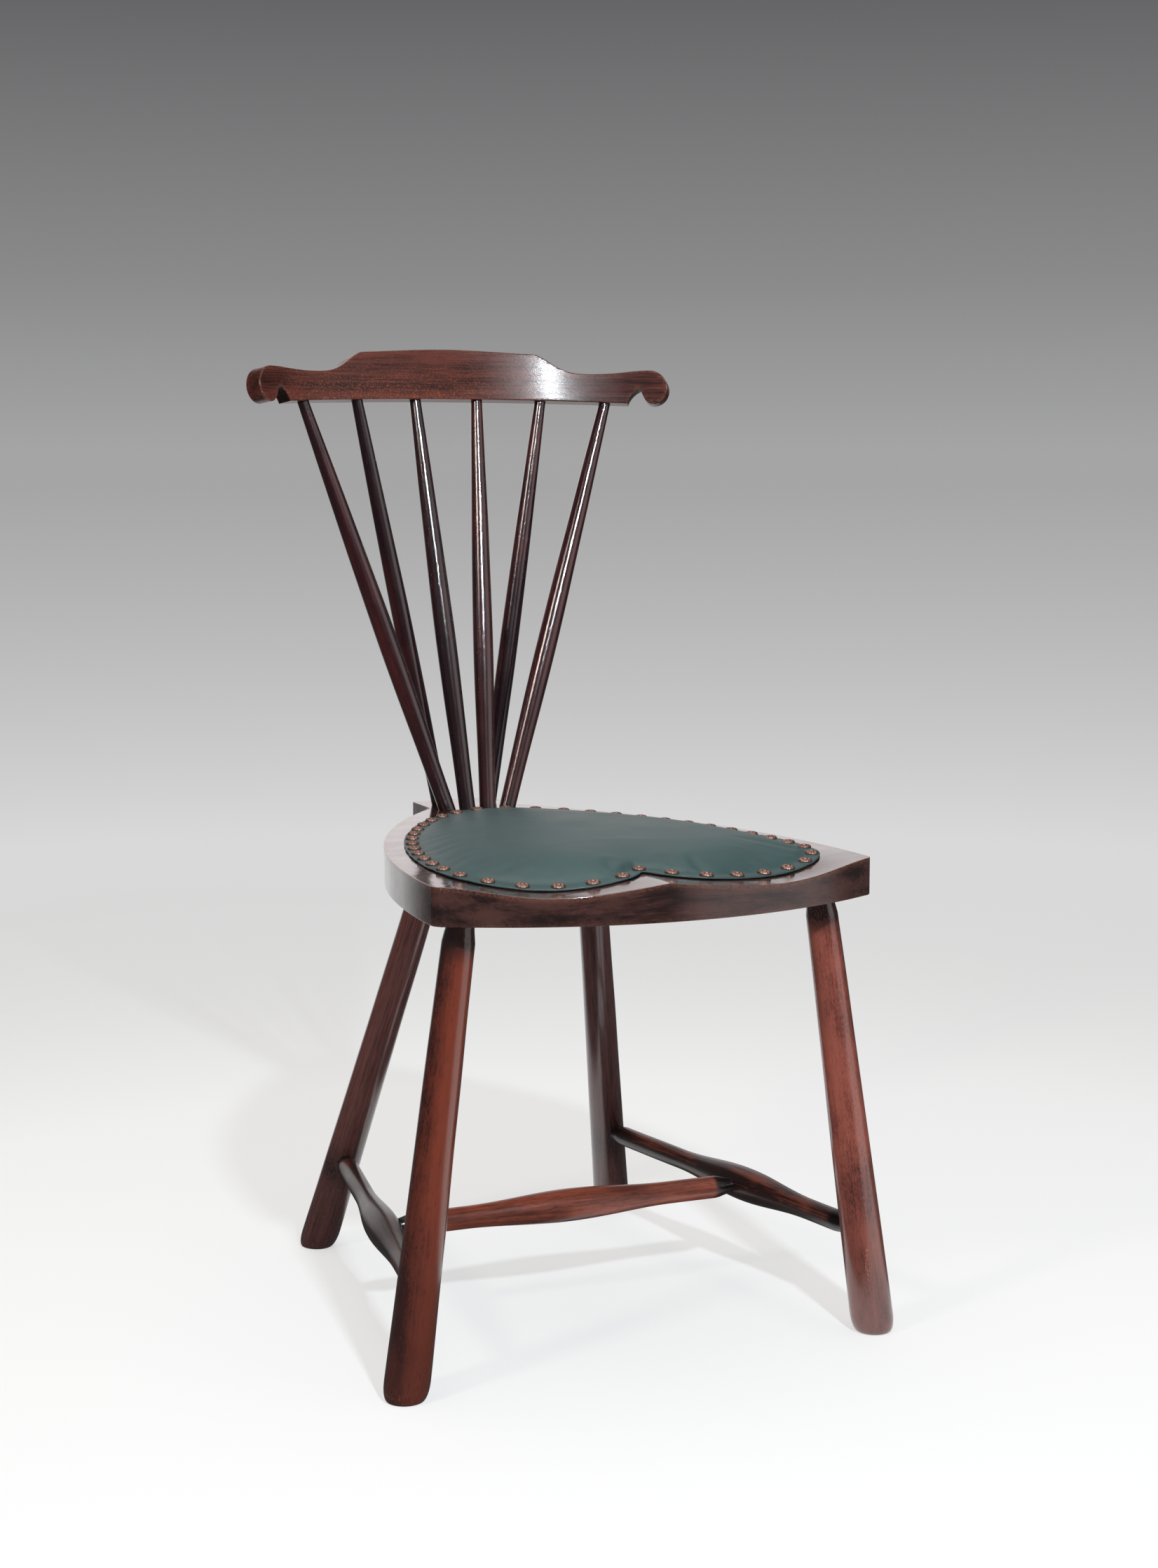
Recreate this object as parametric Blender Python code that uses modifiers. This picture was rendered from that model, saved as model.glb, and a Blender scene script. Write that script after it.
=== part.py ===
"""A fan back chair: a carved seat on four splayed legs with an H stretcher, six swelled sticks
under a curved crest rail, and a heart shaped leather pad held by domed nails.

Metres, +Z up. The chair faces -Y, and left and right are as seen from the front. Lengths along Y
are measured from the middle of the seat's front edge, and the whole chair is then centred.
"""

import math

import bmesh
import bpy
from mathutils import Matrix, Vector

# Seat board
SEAT_HEIGHT = 0.440
SEAT_THICKNESS = 0.033
SEAT_FRONT_WIDTH = 0.410
SEAT_CORNER_SETBACK = 0.058
SEAT_CORNER_RADIUS = 0.009
SEAT_EDGE_RADIUS = 0.0025
SEAT_SIDE_FULLNESS_FRONT = 0.180
SEAT_SIDE_FULLNESS_REAR = 0.150
SEAT_SIDE_ANGLE_AT_NECK = math.radians(41)
NECK_DISTANCE = 0.509
TAIL_WIDTH = 0.087
TAIL_LENGTH = 0.055
TAIL_CORNER_RADIUS = 0.005

# Saddle at the front of the seat: two hollows with a pommel between them, a little left of the middle
SADDLE_DEPTH = 0.009
SADDLE_REACH = 0.090
POMMEL_SHIFT_LEFT = 0.018
SLOPE_STEP = 0.002

# Legs: insets of their tops from the seat's half width, and how far their feet stand out from there
FRONT_LEG_INSET = 0.0357
FRONT_LEG_TOP_Y = 0.0884
FRONT_SPLAY_X = 0.0562
FRONT_SPLAY_Y = 0.0094
FRONT_FOOT_DIAMETER = 0.0410
REAR_LEG_INSET = 0.1242
REAR_LEG_TOP_Y = 0.3947
REAR_SPLAY_X = 0.0820
REAR_SPLAY_Y = 0.1288
REAR_FOOT_DIAMETER = 0.0375
FOOT_EDGE_RADIUS = 0.009
LEG_TOP_DIAMETER = 0.0285
LEG_NECKING_LENGTH = 0.011
LEG_TENON_DIAMETER = 0.0245
LEG_SOCKET_COVER = 0.014

# Stretchers, an H between the legs
STRETCHER_HEIGHT = 0.095
SIDE_STRETCHER_END_DIAMETER = 0.0195
SIDE_STRETCHER_MIDDLE_DIAMETER = 0.0315
SIDE_STRETCHER_TENON_DIAMETER = 0.0155
CENTRE_STRETCHER_Y = 0.258
CENTRE_STRETCHER_END_DIAMETER = 0.0210
CENTRE_STRETCHER_MIDDLE_DIAMETER = 0.0305
CENTRE_STRETCHER_TENON_DIAMETER = 0.0138
STRETCHER_SWELL_LENGTH = 0.210
STRETCHER_TIP_LENGTH = 0.014

# Sticks: four in a row across the neck, and two braces in the tail
STICK_ROW_Y = 0.490
STICK_FOOT_PITCH = 0.0214
BRACE_ROW_Y = 0.528
BRACE_FOOT_SPREAD = 0.052
STICK_HEAD_PITCH = 0.066
STICK_FOOT_DIAMETER = 0.0162
STICK_TIP_DIAMETER = 0.0112
STICK_BELLY_DIAMETER = 0.0203
BRACE_BELLY_DIAMETER = 0.0187
STICK_BELLY_HEIGHT = 0.170
STICK_TAPER_POWER = 1.4
STICK_SOCKET_COVER = 0.010
STICK_TENON_END_DIAMETER = 0.010
STICK_HEAD_TENON_LENGTH = 0.014

# Crest rail: heights are above its lower edge at the middle, lengths run along its curve
CREST_HEIGHT = 0.8443
CREST_Y = 0.5745
CREST_RADIUS = 0.400
CREST_LEAN = math.radians(10.8)
CREST_THICKNESS = 0.018
CREST_EDGE_RADIUS = 0.0012
CREST_MIDDLE_RISE = 0.0495
SHOULDER_LENGTH = 0.096
SHOULDER_RISE = 0.0456
STEP_LENGTH = 0.119
STEP_RISE = 0.0325
DIP_LENGTH = 0.152
DIP_RISE = 0.026
EAR_LENGTH = 0.2145
EAR_RISE = 0.0128
EAR_RADIUS = 0.0170
NOTCH_REACH = 0.011
NOTCH_RADIUS = 0.0148
NOTCH_APEX_DROP = 0.0017

# Leather pad: a heart whose edge keeps these margins to the seat's edge
PAD_FRONT_MARGIN = 0.022
PAD_SIDE_MARGIN = 0.0265
PAD_CLEFT_Y = 0.055
PAD_LOBE_X = 0.080
PAD_SIDE_Y = 0.125
PAD_REAR_Y = 0.473
PAD_LOBE_FULLNESS = 0.7
PAD_REAR_FULLNESS = 0.4
PAD_CROWN = 0.014
PAD_CROWN_POWER = 7
PAD_CROWN_EASE = 0.7
LEATHER_THICKNESS = 0.0018
LEATHER_RIM = 0.015

# Nails round the leather
NAIL_COUNT = 42
NAIL_INSET = 0.008
NAIL_HEAD_DIAMETER = 0.0124
NAIL_HEAD_RISE = 0.0032
NAIL_SHANK_DIAMETER = 0.0020
NAIL_SHANK_LENGTH = 0.011
NAIL_DOME_SHARE = 0.7

# Clearances
JOINT_CLEARANCE = 0.0003
SOCKET_END_GAP = 0.0005
PAD_GAP = 0.0004
STUFFING_GAP = 0.0008
NAIL_GAP = 0.0004

# Fineness of the curved surfaces
TURNED_STEPS = 18
STICK_STEPS = 14
SOCKET_SIDES = 14
NAIL_STEPS = 8
NAIL_HOLE_SIDES = 5
CURVE_STEPS = 6
PAD_POINTS = 54
PAD_RING_SCALES = (1.0, 0.97, 0.93, 0.87, 0.76, 0.55, 0.25)
SADDLE_CELL = 0.016
CREST_CELL = 0.020
CORNER_SEGMENTS = 4
FOOT_SEGMENTS = 3
SEAT_RIM_SEGMENTS = 2
CREST_RIM_SEGMENTS = 1
ROUND_PROFILE = 0.5
FLAT_NORMAL = 0.99
WELD_DISTANCE = 0.00001

# Worked out from the driving dimensions
SEAT_UNDERSIDE = SEAT_HEIGHT - SEAT_THICKNESS
SEAT_HALF_WIDTH = SEAT_FRONT_WIDTH / 2
POMMEL_X = -POMMEL_SHIFT_LEFT
SEAT_FRONT_RADIUS = (SEAT_HALF_WIDTH**2 + SEAT_CORNER_SETBACK**2) / (2 * SEAT_CORNER_SETBACK)
TAIL_REAR = NECK_DISTANCE + TAIL_LENGTH
CREST_REAR = CREST_Y + math.cos(CREST_LEAN) * CREST_THICKNESS / 2 + math.tan(CREST_LEAN) * CREST_MIDDLE_RISE
CHAIR_DEPTH = max(TAIL_REAR, CREST_REAR)
SIDES = {"left": -1, "right": 1}


# Scene, materials and objects


def clear_scene():
    for old in list(bpy.data.objects):
        bpy.data.objects.remove(old, do_unlink=True)


def new_collection(name):
    collection = bpy.data.collections.new(name)
    bpy.context.scene.collection.children.link(collection)
    return collection


def new_material(name, colour, roughness, metallic=0.0):
    material = bpy.data.materials.new(name)
    material.use_nodes = True
    shader = material.node_tree.nodes["Principled BSDF"]
    shader.inputs["Base Color"].default_value = (*colour, 1.0)
    shader.inputs["Roughness"].default_value = roughness
    shader.inputs["Metallic"].default_value = metallic
    material.diffuse_color = (*colour, 1.0)
    return material


def add_object(name, mesh, material, matrix=None):
    """A part of the chair, placed in the frame of the seat's front edge."""
    part = bpy.data.objects.new(name, mesh)
    part.parent = origin
    part.matrix_local = matrix or Matrix()
    if not mesh.materials:
        mesh.materials.append(material)
    parts.objects.link(part)
    return part


def mesh_from(name, shape, smooth_angle=math.radians(35)):
    """A mesh with this bmesh's shape, smooth but for its sharp edges."""
    bmesh.ops.recalc_face_normals(shape, faces=shape.faces)
    mesh = bpy.data.meshes.new(name)
    shape.to_mesh(mesh)
    shape.free()
    mesh.shade_smooth()
    mesh.set_sharp_from_angle(angle=smooth_angle)
    return mesh


def along(start, end):
    """The frame at start whose Z axis points to end."""
    direction = Vector(end) - Vector(start)
    return Matrix.Translation(start) @ direction.to_track_quat("Z", "Y").to_matrix().to_4x4()


# Modelling tools


def turned(name, profile, steps):
    """A Screw of a profile of (distance along Z, radius) pairs, which runs from the bottom to the top."""
    points = [(radius, 0, height) for height, radius in reversed(profile)]
    closed = [(0, 0, points[0][2]), *points, (0, 0, points[-1][2])]
    mesh = bpy.data.meshes.new(name)
    mesh.from_pydata(closed, [(i, i + 1) for i in range(len(closed) - 1)], [])
    guide = bpy.data.objects.new(name, mesh)
    bpy.context.scene.collection.objects.link(guide)
    screw = guide.modifiers.new("turning", "SCREW")
    screw.axis = "Z"
    screw.steps = screw.render_steps = steps
    screw.use_merge_vertices = True
    screw.merge_threshold = WELD_DISTANCE
    return shape_of(guide)


def shape_of(guide):
    """A welded bmesh of what a guide object evaluates to. The guide is removed."""
    bpy.context.view_layer.update()
    evaluated = guide.evaluated_get(bpy.context.evaluated_depsgraph_get())
    mesh = bpy.data.meshes.new_from_object(evaluated)
    shape = bmesh.new()
    shape.from_mesh(mesh)
    bmesh.ops.remove_doubles(shape, verts=shape.verts, dist=WELD_DISTANCE)
    bpy.data.meshes.remove(mesh)
    bpy.data.objects.remove(guide, do_unlink=True)
    return shape


def slab(outline, thickness):
    """A bmesh slab with this outline, half its thickness to each side of the XY plane."""
    curve = bpy.data.curves.new("outline", "CURVE")
    curve.dimensions = "2D"
    curve.fill_mode = "BOTH"
    curve.extrude = thickness / 2
    spline = curve.splines.new("POLY")
    spline.points.add(len(outline) - 1)
    for point, (x, y) in zip(spline.points, outline):
        point.co = (x, y, 0, 1)
    spline.use_cyclic_u = True
    guide = bpy.data.objects.new("outline", curve)
    bpy.context.scene.collection.objects.link(guide)
    shape = shape_of(guide)
    bmesh.ops.recalc_face_normals(shape, faces=shape.faces)
    for side in (-1, 1):
        cap = [face for face in shape.faces if face.normal.z * side > FLAT_NORMAL]
        bmesh.ops.dissolve_faces(shape, faces=cap)
    return shape


def caps_of(shape):
    return [face for face in shape.faces if abs(face.normal.z) > FLAT_NORMAL]


def round_edges(shape, edges, radius, segments):
    bmesh.ops.bevel(
        shape,
        geom=list(edges),
        offset=radius,
        segments=segments,
        profile=ROUND_PROFILE,
        affect="EDGES",
        material=-1,
        clamp_overlap=True,
    )


def round_corners(shape, corners, radius):
    """Rounds a slab's edges that stand on the outline's corners."""

    def stands_on(edge, corner):
        return all((vert.co.xy - corner).length < WELD_DISTANCE for vert in edge.verts)

    upright = [edge for edge in shape.edges if any(stands_on(edge, corner) for corner in corners)]
    round_edges(shape, upright, radius, CORNER_SEGMENTS)


def round_rims(shape, radius, segments):
    """Rounds the edges between a slab's two faces and its wall."""
    round_edges(shape, {edge for face in caps_of(shape) for edge in face.edges}, radius, segments)


def cut_across(shape, is_wanted, places, axis):
    """Cuts the wanted faces by a plane at each of these places along X or Y."""
    normal = Vector((axis == "X", axis == "Y", 0))
    for place in places:
        wanted = [face for face in shape.faces if is_wanted(face)]
        edges = {edge for face in wanted for edge in face.edges}
        verts = {vert for face in wanted for vert in face.verts}
        bmesh.ops.bisect_plane(
            shape,
            geom=[*verts, *edges, *wanted],
            dist=WELD_DISTANCE,
            plane_co=normal * place,
            plane_no=normal,
        )


def loft(rings):
    """A closed bmesh through rings of equally many points, capped at both ends."""
    shape = bmesh.new()
    loops = [[shape.verts.new(point) for point in ring] for ring in rings]
    for lower, upper in zip(loops, loops[1:]):
        for i in range(len(lower)):
            shape.faces.new((lower[i - 1], lower[i], upper[i], upper[i - 1]))
    shape.faces.new(loops[0])
    shape.faces.new(loops[-1])
    return shape


def drill(name, holes, sides=SOCKET_SIDES):
    """A cutter with one hole for each (start, end, start radius, end radius), measured to its flat sides."""
    shape = bmesh.new()
    to_corner = 1 / math.cos(math.pi / sides)
    for start, end, start_radius, end_radius in holes:
        length = (Vector(end) - Vector(start)).length
        middle = Matrix.Translation((0, 0, length / 2))
        bmesh.ops.create_cone(
            shape,
            cap_ends=True,
            segments=sides,
            radius1=start_radius * to_corner,
            radius2=end_radius * to_corner,
            depth=length,
            matrix=along(start, end) @ middle,
        )
    cutter = bpy.data.objects.new(name, mesh_from(name, shape))
    cutter.parent = origin
    cutter.hide_render = True
    cutter.display_type = "WIRE"
    cutters.objects.link(cutter)
    return cutter


def cut(part, cutter):
    boolean = part.modifiers.new(cutter.name, "BOOLEAN")
    boolean.operation = "DIFFERENCE"
    boolean.solver = "EXACT"
    boolean.object = cutter


# Curves in the plane


def bezier(start, start_handle, end_handle, end, steps=CURVE_STEPS):
    """Points of a cubic curve, without its end."""
    start, start_handle, end_handle, end = map(Vector, (start, start_handle, end_handle, end))
    points = []
    for step in range(steps):
        t = step / steps
        u = 1 - t
        points.append(start * u**3 + start_handle * 3 * u**2 * t + end_handle * 3 * u * t**2 + end * t**3)
    return points


def arc(centre, radius, first, last, steps=CURVE_STEPS):
    """Points of an arc from the first angle to the last, without its end."""
    angles = [first + (last - first) * step / steps for step in range(steps)]
    return [Vector(centre) + radius * Vector((math.cos(angle), math.sin(angle))) for angle in angles]


def mirrored(half):
    """A closed outline from the half at +X, whose two ends lie on the middle line."""
    return half + [Vector((-point.x, point.y)) for point in reversed(half[1:-1])]


def evenly_spaced(outline, count):
    """This many points at equal distances along a closed outline, from its first point on."""
    closed = [*outline, outline[0]]
    lengths = [(b - a).length for a, b in zip(closed, closed[1:])]
    step = sum(lengths) / count
    points = []
    piece = 0
    passed = 0.0
    for index in range(count):
        while passed + lengths[piece] < index * step:
            passed += lengths[piece]
            piece += 1
        share = (index * step - passed) / lengths[piece]
        points.append(closed[piece].lerp(closed[piece + 1], share))
    return points


def inset(outline, distance):
    """The outline moved inwards. It runs against the clock."""
    moved = []
    for i, point in enumerate(outline):
        before = (point - outline[i - 1]).normalized()
        after = (outline[(i + 1) % len(outline)] - point).normalized()
        direction = (before + after).normalized()
        moved.append(point + distance * Vector((-direction.y, direction.x)))
    return moved


# Seat


def front_edge(x):
    """How far the seat's front edge lies behind its middle at this x."""
    return SEAT_FRONT_RADIUS - math.sqrt(max(SEAT_FRONT_RADIUS**2 - x**2, 0))


def seat_top(x, y):
    """Height of the carved top of the seat."""
    side = math.copysign(SEAT_HALF_WIDTH, x - POMMEL_X)
    across = min((x - POMMEL_X) / (side - POMMEL_X), 1)
    behind = min(max((y - front_edge(x)) / SADDLE_REACH, 0), 1)
    hollow = max(math.sin(math.pi * across), 0) ** (1 + across)
    return SEAT_HEIGHT - SADDLE_DEPTH * hollow * (1 + math.cos(math.pi * behind)) / 2


def seat_normal(x, y):
    rise_x = seat_top(x + SLOPE_STEP, y) - seat_top(x - SLOPE_STEP, y)
    rise_y = seat_top(x, y + SLOPE_STEP) - seat_top(x, y - SLOPE_STEP)
    return Vector((-rise_x, -rise_y, 2 * SLOPE_STEP)).normalized()


def make_seat():
    corner_angle = math.asin(SEAT_HALF_WIDTH / SEAT_FRONT_RADIUS)
    corner = Vector((SEAT_HALF_WIDTH, SEAT_CORNER_SETBACK))
    neck = Vector((TAIL_WIDTH / 2, NECK_DISTANCE))
    side_end = Vector((math.sin(SEAT_SIDE_ANGLE_AT_NECK), -math.cos(SEAT_SIDE_ANGLE_AT_NECK)))
    tail_corner = Vector((TAIL_WIDTH / 2, TAIL_REAR))
    upright = -math.pi / 2
    centre = (0, SEAT_FRONT_RADIUS)
    half = arc(centre, SEAT_FRONT_RADIUS, upright, upright + corner_angle, 2 * CURVE_STEPS)
    half += bezier(
        corner,
        corner + Vector((0, SEAT_SIDE_FULLNESS_FRONT)),
        neck + SEAT_SIDE_FULLNESS_REAR * side_end,
        neck,
        3 * CURVE_STEPS,
    )
    half += [neck, tail_corner, Vector((0, TAIL_REAR))]
    shape = slab(mirrored(half), SEAT_THICKNESS)
    opposite = Vector((-1, 1))
    round_corners(shape, [corner, corner * opposite], SEAT_CORNER_RADIUS)
    round_corners(shape, [tail_corner, tail_corner * opposite], TAIL_CORNER_RADIUS)
    round_rims(shape, SEAT_EDGE_RADIUS, SEAT_RIM_SEGMENTS)

    carved_depth = SEAT_CORNER_SETBACK + SADDLE_REACH
    rows = [SADDLE_CELL * i for i in range(1, math.ceil(carved_depth / SADDLE_CELL) + 1)]
    reach = math.ceil((SEAT_HALF_WIDTH + abs(POMMEL_X)) / SADDLE_CELL)
    columns = [POMMEL_X + SADDLE_CELL * i for i in range(-reach, reach + 1)]

    def on_top(face):
        return face.normal.z > FLAT_NORMAL

    def is_carved(face):
        return on_top(face) and face.calc_center_median().y < rows[-1]

    cut_across(shape, on_top, rows, "Y")
    cut_across(shape, is_carved, columns, "X")
    for vert in shape.verts:
        above_middle = vert.co.z > 0
        vert.co.z += SEAT_HEIGHT - SEAT_THICKNESS / 2
        if above_middle:
            vert.co.z -= SEAT_HEIGHT - seat_top(vert.co.x, vert.co.y)
    return add_object("seat", mesh_from("seat", shape), seat_wood)


# Legs


def leg_axis(row, side):
    """Where a leg's axis meets the floor and the underside of the seat."""
    inset_x, top_y, splay_x, splay_y = {
        "front": (FRONT_LEG_INSET, FRONT_LEG_TOP_Y, FRONT_SPLAY_X, -FRONT_SPLAY_Y),
        "rear": (REAR_LEG_INSET, REAR_LEG_TOP_Y, REAR_SPLAY_X, REAR_SPLAY_Y),
    }[row]
    top_x = SEAT_HALF_WIDTH - inset_x
    foot = Vector((side * (top_x + splay_x), top_y + splay_y, 0))
    return foot, Vector((side * top_x, top_y, SEAT_UNDERSIDE))


def on_axis(axis, height):
    start, end = axis
    return start.lerp(end, (height - start.z) / (end.z - start.z))


def make_leg(row, side_name, foot_diameter):
    axis = leg_axis(row, SIDES[side_name])
    foot, top = axis
    length = (top - foot).length
    tenon = (on_axis(axis, SEAT_HEIGHT - LEG_SOCKET_COVER) - top).length
    slant = (top - foot).xy.length / top.z
    neck_end = length - (slant * LEG_TENON_DIAMETER / 2 + JOINT_CLEARANCE)
    profile = [
        (-foot_diameter, foot_diameter / 2),
        (neck_end - LEG_NECKING_LENGTH, LEG_TOP_DIAMETER / 2),
        (neck_end, LEG_TENON_DIAMETER / 2),
        (length + tenon, LEG_TENON_DIAMETER / 2),
    ]
    name = f"{row}_leg_{side_name}"
    shape = turned(name, profile, TURNED_STEPS)
    placing = along(foot, top)
    down = placing.to_3x3().inverted() @ Vector((0, 0, -1))
    everything = [*shape.verts, *shape.edges, *shape.faces]
    sawn = bmesh.ops.bisect_plane(
        shape, geom=everything, dist=WELD_DISTANCE, plane_co=(0, 0, 0), plane_no=down, clear_outer=True
    )
    sole = [item for item in sawn["geom_cut"] if isinstance(item, bmesh.types.BMEdge)]
    bmesh.ops.contextual_create(shape, geom=sole)
    round_edges(shape, sole, FOOT_EDGE_RADIUS, FOOT_SEGMENTS)
    return add_object(name, mesh_from(name, shape), leg_wood, placing)


def leg_holes():
    """A socket in the seat for each leg."""
    holes = []
    for row in ("front", "rear"):
        for side in SIDES.values():
            axis = leg_axis(row, side)
            start = on_axis(axis, SEAT_UNDERSIDE - SEAT_THICKNESS)
            end = on_axis(axis, SEAT_HEIGHT - LEG_SOCKET_COVER + SOCKET_END_GAP)
            radius = LEG_TENON_DIAMETER / 2 + JOINT_CLEARANCE
            holes.append((start, end, radius, radius))
    return holes


# Stretchers


def side_stretcher_axis(side):
    return tuple(on_axis(leg_axis(row, side), STRETCHER_HEIGHT) for row in ("front", "rear"))


def centre_stretcher_axis():
    ends = []
    for side in SIDES.values():
        front, rear = side_stretcher_axis(side)
        ends.append(front.lerp(rear, (CENTRE_STRETCHER_Y - front.y) / (rear.y - front.y)))
    return tuple(ends)


def stretcher_profile(length, swell_at, tip_starts, diameters):
    """A stick with a swelling, whose two ends narrow to tenons where it enters its neighbours."""
    tenon, end, middle = (diameter / 2 for diameter in diameters)
    first = tip_starts[0] + STRETCHER_TIP_LENGTH
    last = length - tip_starts[1] - STRETCHER_TIP_LENGTH
    half_swell = min(STRETCHER_SWELL_LENGTH / 2, swell_at - first, last - swell_at)
    profile = [(0, tenon), (tip_starts[0], tenon), (first, end)]
    for step in range(1, 2 * CURVE_STEPS):
        share = step / CURVE_STEPS - 1
        swelling = math.cos(math.pi / 2 * share) ** 2
        profile.append((swell_at + half_swell * share, end + (middle - end) * swelling))
    return profile + [(last, end), (length - tip_starts[1], tenon), (length, tenon)]


def leg_radius(row, height):
    foot_diameter = {"front": FRONT_FOOT_DIAMETER, "rear": REAR_FOOT_DIAMETER}[row]
    share = height / SEAT_UNDERSIDE
    return (foot_diameter + (LEG_TOP_DIAMETER - foot_diameter) * share) / 2


def make_side_stretcher(side_name):
    front, rear = side_stretcher_axis(SIDES[side_name])
    length = (rear - front).length
    swell_at = length * (CENTRE_STRETCHER_Y - front.y) / (rear.y - front.y)
    tips = [leg_radius(row, STRETCHER_HEIGHT) for row in ("front", "rear")]
    diameters = (
        SIDE_STRETCHER_TENON_DIAMETER,
        SIDE_STRETCHER_END_DIAMETER,
        SIDE_STRETCHER_MIDDLE_DIAMETER,
    )
    name = f"side_stretcher_{side_name}"
    shape = turned(name, stretcher_profile(length, swell_at, tips, diameters), TURNED_STEPS)
    return add_object(name, mesh_from(name, shape), stretcher_wood, along(front, rear))


def make_centre_stretcher():
    left, right = centre_stretcher_axis()
    length = (right - left).length
    tips = [SIDE_STRETCHER_MIDDLE_DIAMETER / 2] * 2
    diameters = (
        CENTRE_STRETCHER_TENON_DIAMETER,
        CENTRE_STRETCHER_END_DIAMETER,
        CENTRE_STRETCHER_MIDDLE_DIAMETER,
    )
    profile = stretcher_profile(length, length / 2, tips, diameters)
    mesh = mesh_from("centre_stretcher", turned("centre_stretcher", profile, TURNED_STEPS))
    return add_object("centre_stretcher", mesh, stretcher_wood, along(left, right))


def end_socket(axis, diameter, reach):
    """A socket for the end of a tenon that stops at the first point of its axis."""
    start, end = axis
    direction = (end - start).normalized()
    radius = diameter / 2 + JOINT_CLEARANCE
    return start - SOCKET_END_GAP * direction, start + reach * direction, radius, radius


# Crest rail and sticks


def on_crest(length, depth, height):
    """A point of the bent and leaning rail: length along its curve, depth behind its middle layer."""
    angle = length / CREST_RADIUS
    lean = math.tan(CREST_LEAN)
    y = CREST_Y - CREST_RADIUS * (1 - math.cos(angle)) + lean * (height - CREST_HEIGHT)
    backwards = Vector((math.sin(angle), math.cos(angle), -lean * math.cos(angle))).normalized()
    return Vector((CREST_RADIUS * math.sin(angle), y, height)) + depth * backwards


def crest_lower_edge(length):
    """How high the rail's lower edge lies, above its middle. It falls towards the ears."""
    corner = EAR_LENGTH - NOTCH_REACH - NOTCH_RADIUS
    fall = NOTCH_RADIUS + NOTCH_APEX_DROP - EAR_RISE
    return -fall * (length / corner) ** 2


def crest_outline():
    """The right half of the rail laid flat, from the top middle round the ear to the lower middle."""
    shoulder = Vector((SHOULDER_LENGTH, SHOULDER_RISE))
    step = Vector((STEP_LENGTH, STEP_RISE))
    dip = Vector((DIP_LENGTH, DIP_RISE))
    ear = Vector((EAR_LENGTH, EAR_RISE))
    ear_top = ear + Vector((0, EAR_RADIUS))
    ear_bottom = ear - Vector((0, EAR_RADIUS))
    apex = ear - Vector((NOTCH_REACH, NOTCH_APEX_DROP))
    notch_centre = apex - Vector((0, NOTCH_RADIUS))
    corner = notch_centre - Vector((NOTCH_RADIUS, 0))
    top = Vector((0, CREST_MIDDLE_RISE))
    fall = shoulder - top
    slope = step - shoulder
    level = dip - step
    rise = ear_top - dip
    curl = apex - ear_bottom
    half = bezier(top, top + Vector((fall.x / 3, 0)), shoulder - fall / 3, shoulder, CURVE_STEPS // 2)
    half += bezier(shoulder, shoulder + Vector((slope.x / 4, slope.y / 5)), step - slope / 3, step)
    half += bezier(step, step + slope / 3, dip - Vector((level.x / 2, 0)), dip)
    half += bezier(dip, dip + Vector((rise.x / 2, 0)), ear_top - Vector((rise.x / 3, 0)), ear_top)
    half += arc(ear, EAR_RADIUS, math.pi / 2, -math.pi / 2, 2 * CURVE_STEPS)
    curl_end = apex - Vector((-curl.y / 10, curl.y / 2))
    half += bezier(ear_bottom, ear_bottom + Vector((curl.x / 2, 0)), curl_end, apex)
    half += arc(notch_centre, NOTCH_RADIUS, math.pi / 2, math.pi)
    steps = 2 * CURVE_STEPS
    lengths = [corner.x * (1 - index / steps) for index in range(steps + 1)]
    return half + [Vector((length, crest_lower_edge(length))) for length in lengths]


def make_crest_rail():
    outline = list(reversed(mirrored(crest_outline())))
    shape = slab(outline, CREST_THICKNESS)
    round_rims(shape, CREST_EDGE_RADIUS, CREST_RIM_SEGMENTS)
    cells = math.ceil((EAR_LENGTH + EAR_RADIUS) / CREST_CELL)
    cut_across(shape, lambda face: True, [CREST_CELL * i for i in range(-cells, cells + 1)], "X")
    for vert in shape.verts:
        vert.co = on_crest(vert.co.x, -vert.co.z, CREST_HEIGHT + vert.co.y)
    return add_object("crest_rail", mesh_from("crest_rail", shape), crest_wood)


def stick_places():
    """Each stick's foot on the seat, and its head where it enters the crest rail."""
    places = {}
    for side_name, side in SIDES.items():
        feet = {
            f"stick_inner_{side_name}": (STICK_FOOT_PITCH / 2, STICK_ROW_Y, 0.5),
            f"brace_stick_{side_name}": (BRACE_FOOT_SPREAD / 2, BRACE_ROW_Y, 1.5),
            f"stick_outer_{side_name}": (3 * STICK_FOOT_PITCH / 2, STICK_ROW_Y, 2.5),
        }
        for name, (x, y, pitches) in feet.items():
            length = side * pitches * STICK_HEAD_PITCH
            head = on_crest(length, 0, CREST_HEIGHT + crest_lower_edge(length))
            places[name] = (Vector((side * x, y, SEAT_HEIGHT)), head)
    return places


def stick_tenons(foot, head):
    """Where a stick ends inside the seat and inside the crest rail."""
    direction = (head - foot).normalized()
    lower = foot - direction * (SEAT_THICKNESS - STICK_SOCKET_COVER) / direction.z
    return lower, head + direction * STICK_HEAD_TENON_LENGTH


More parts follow.
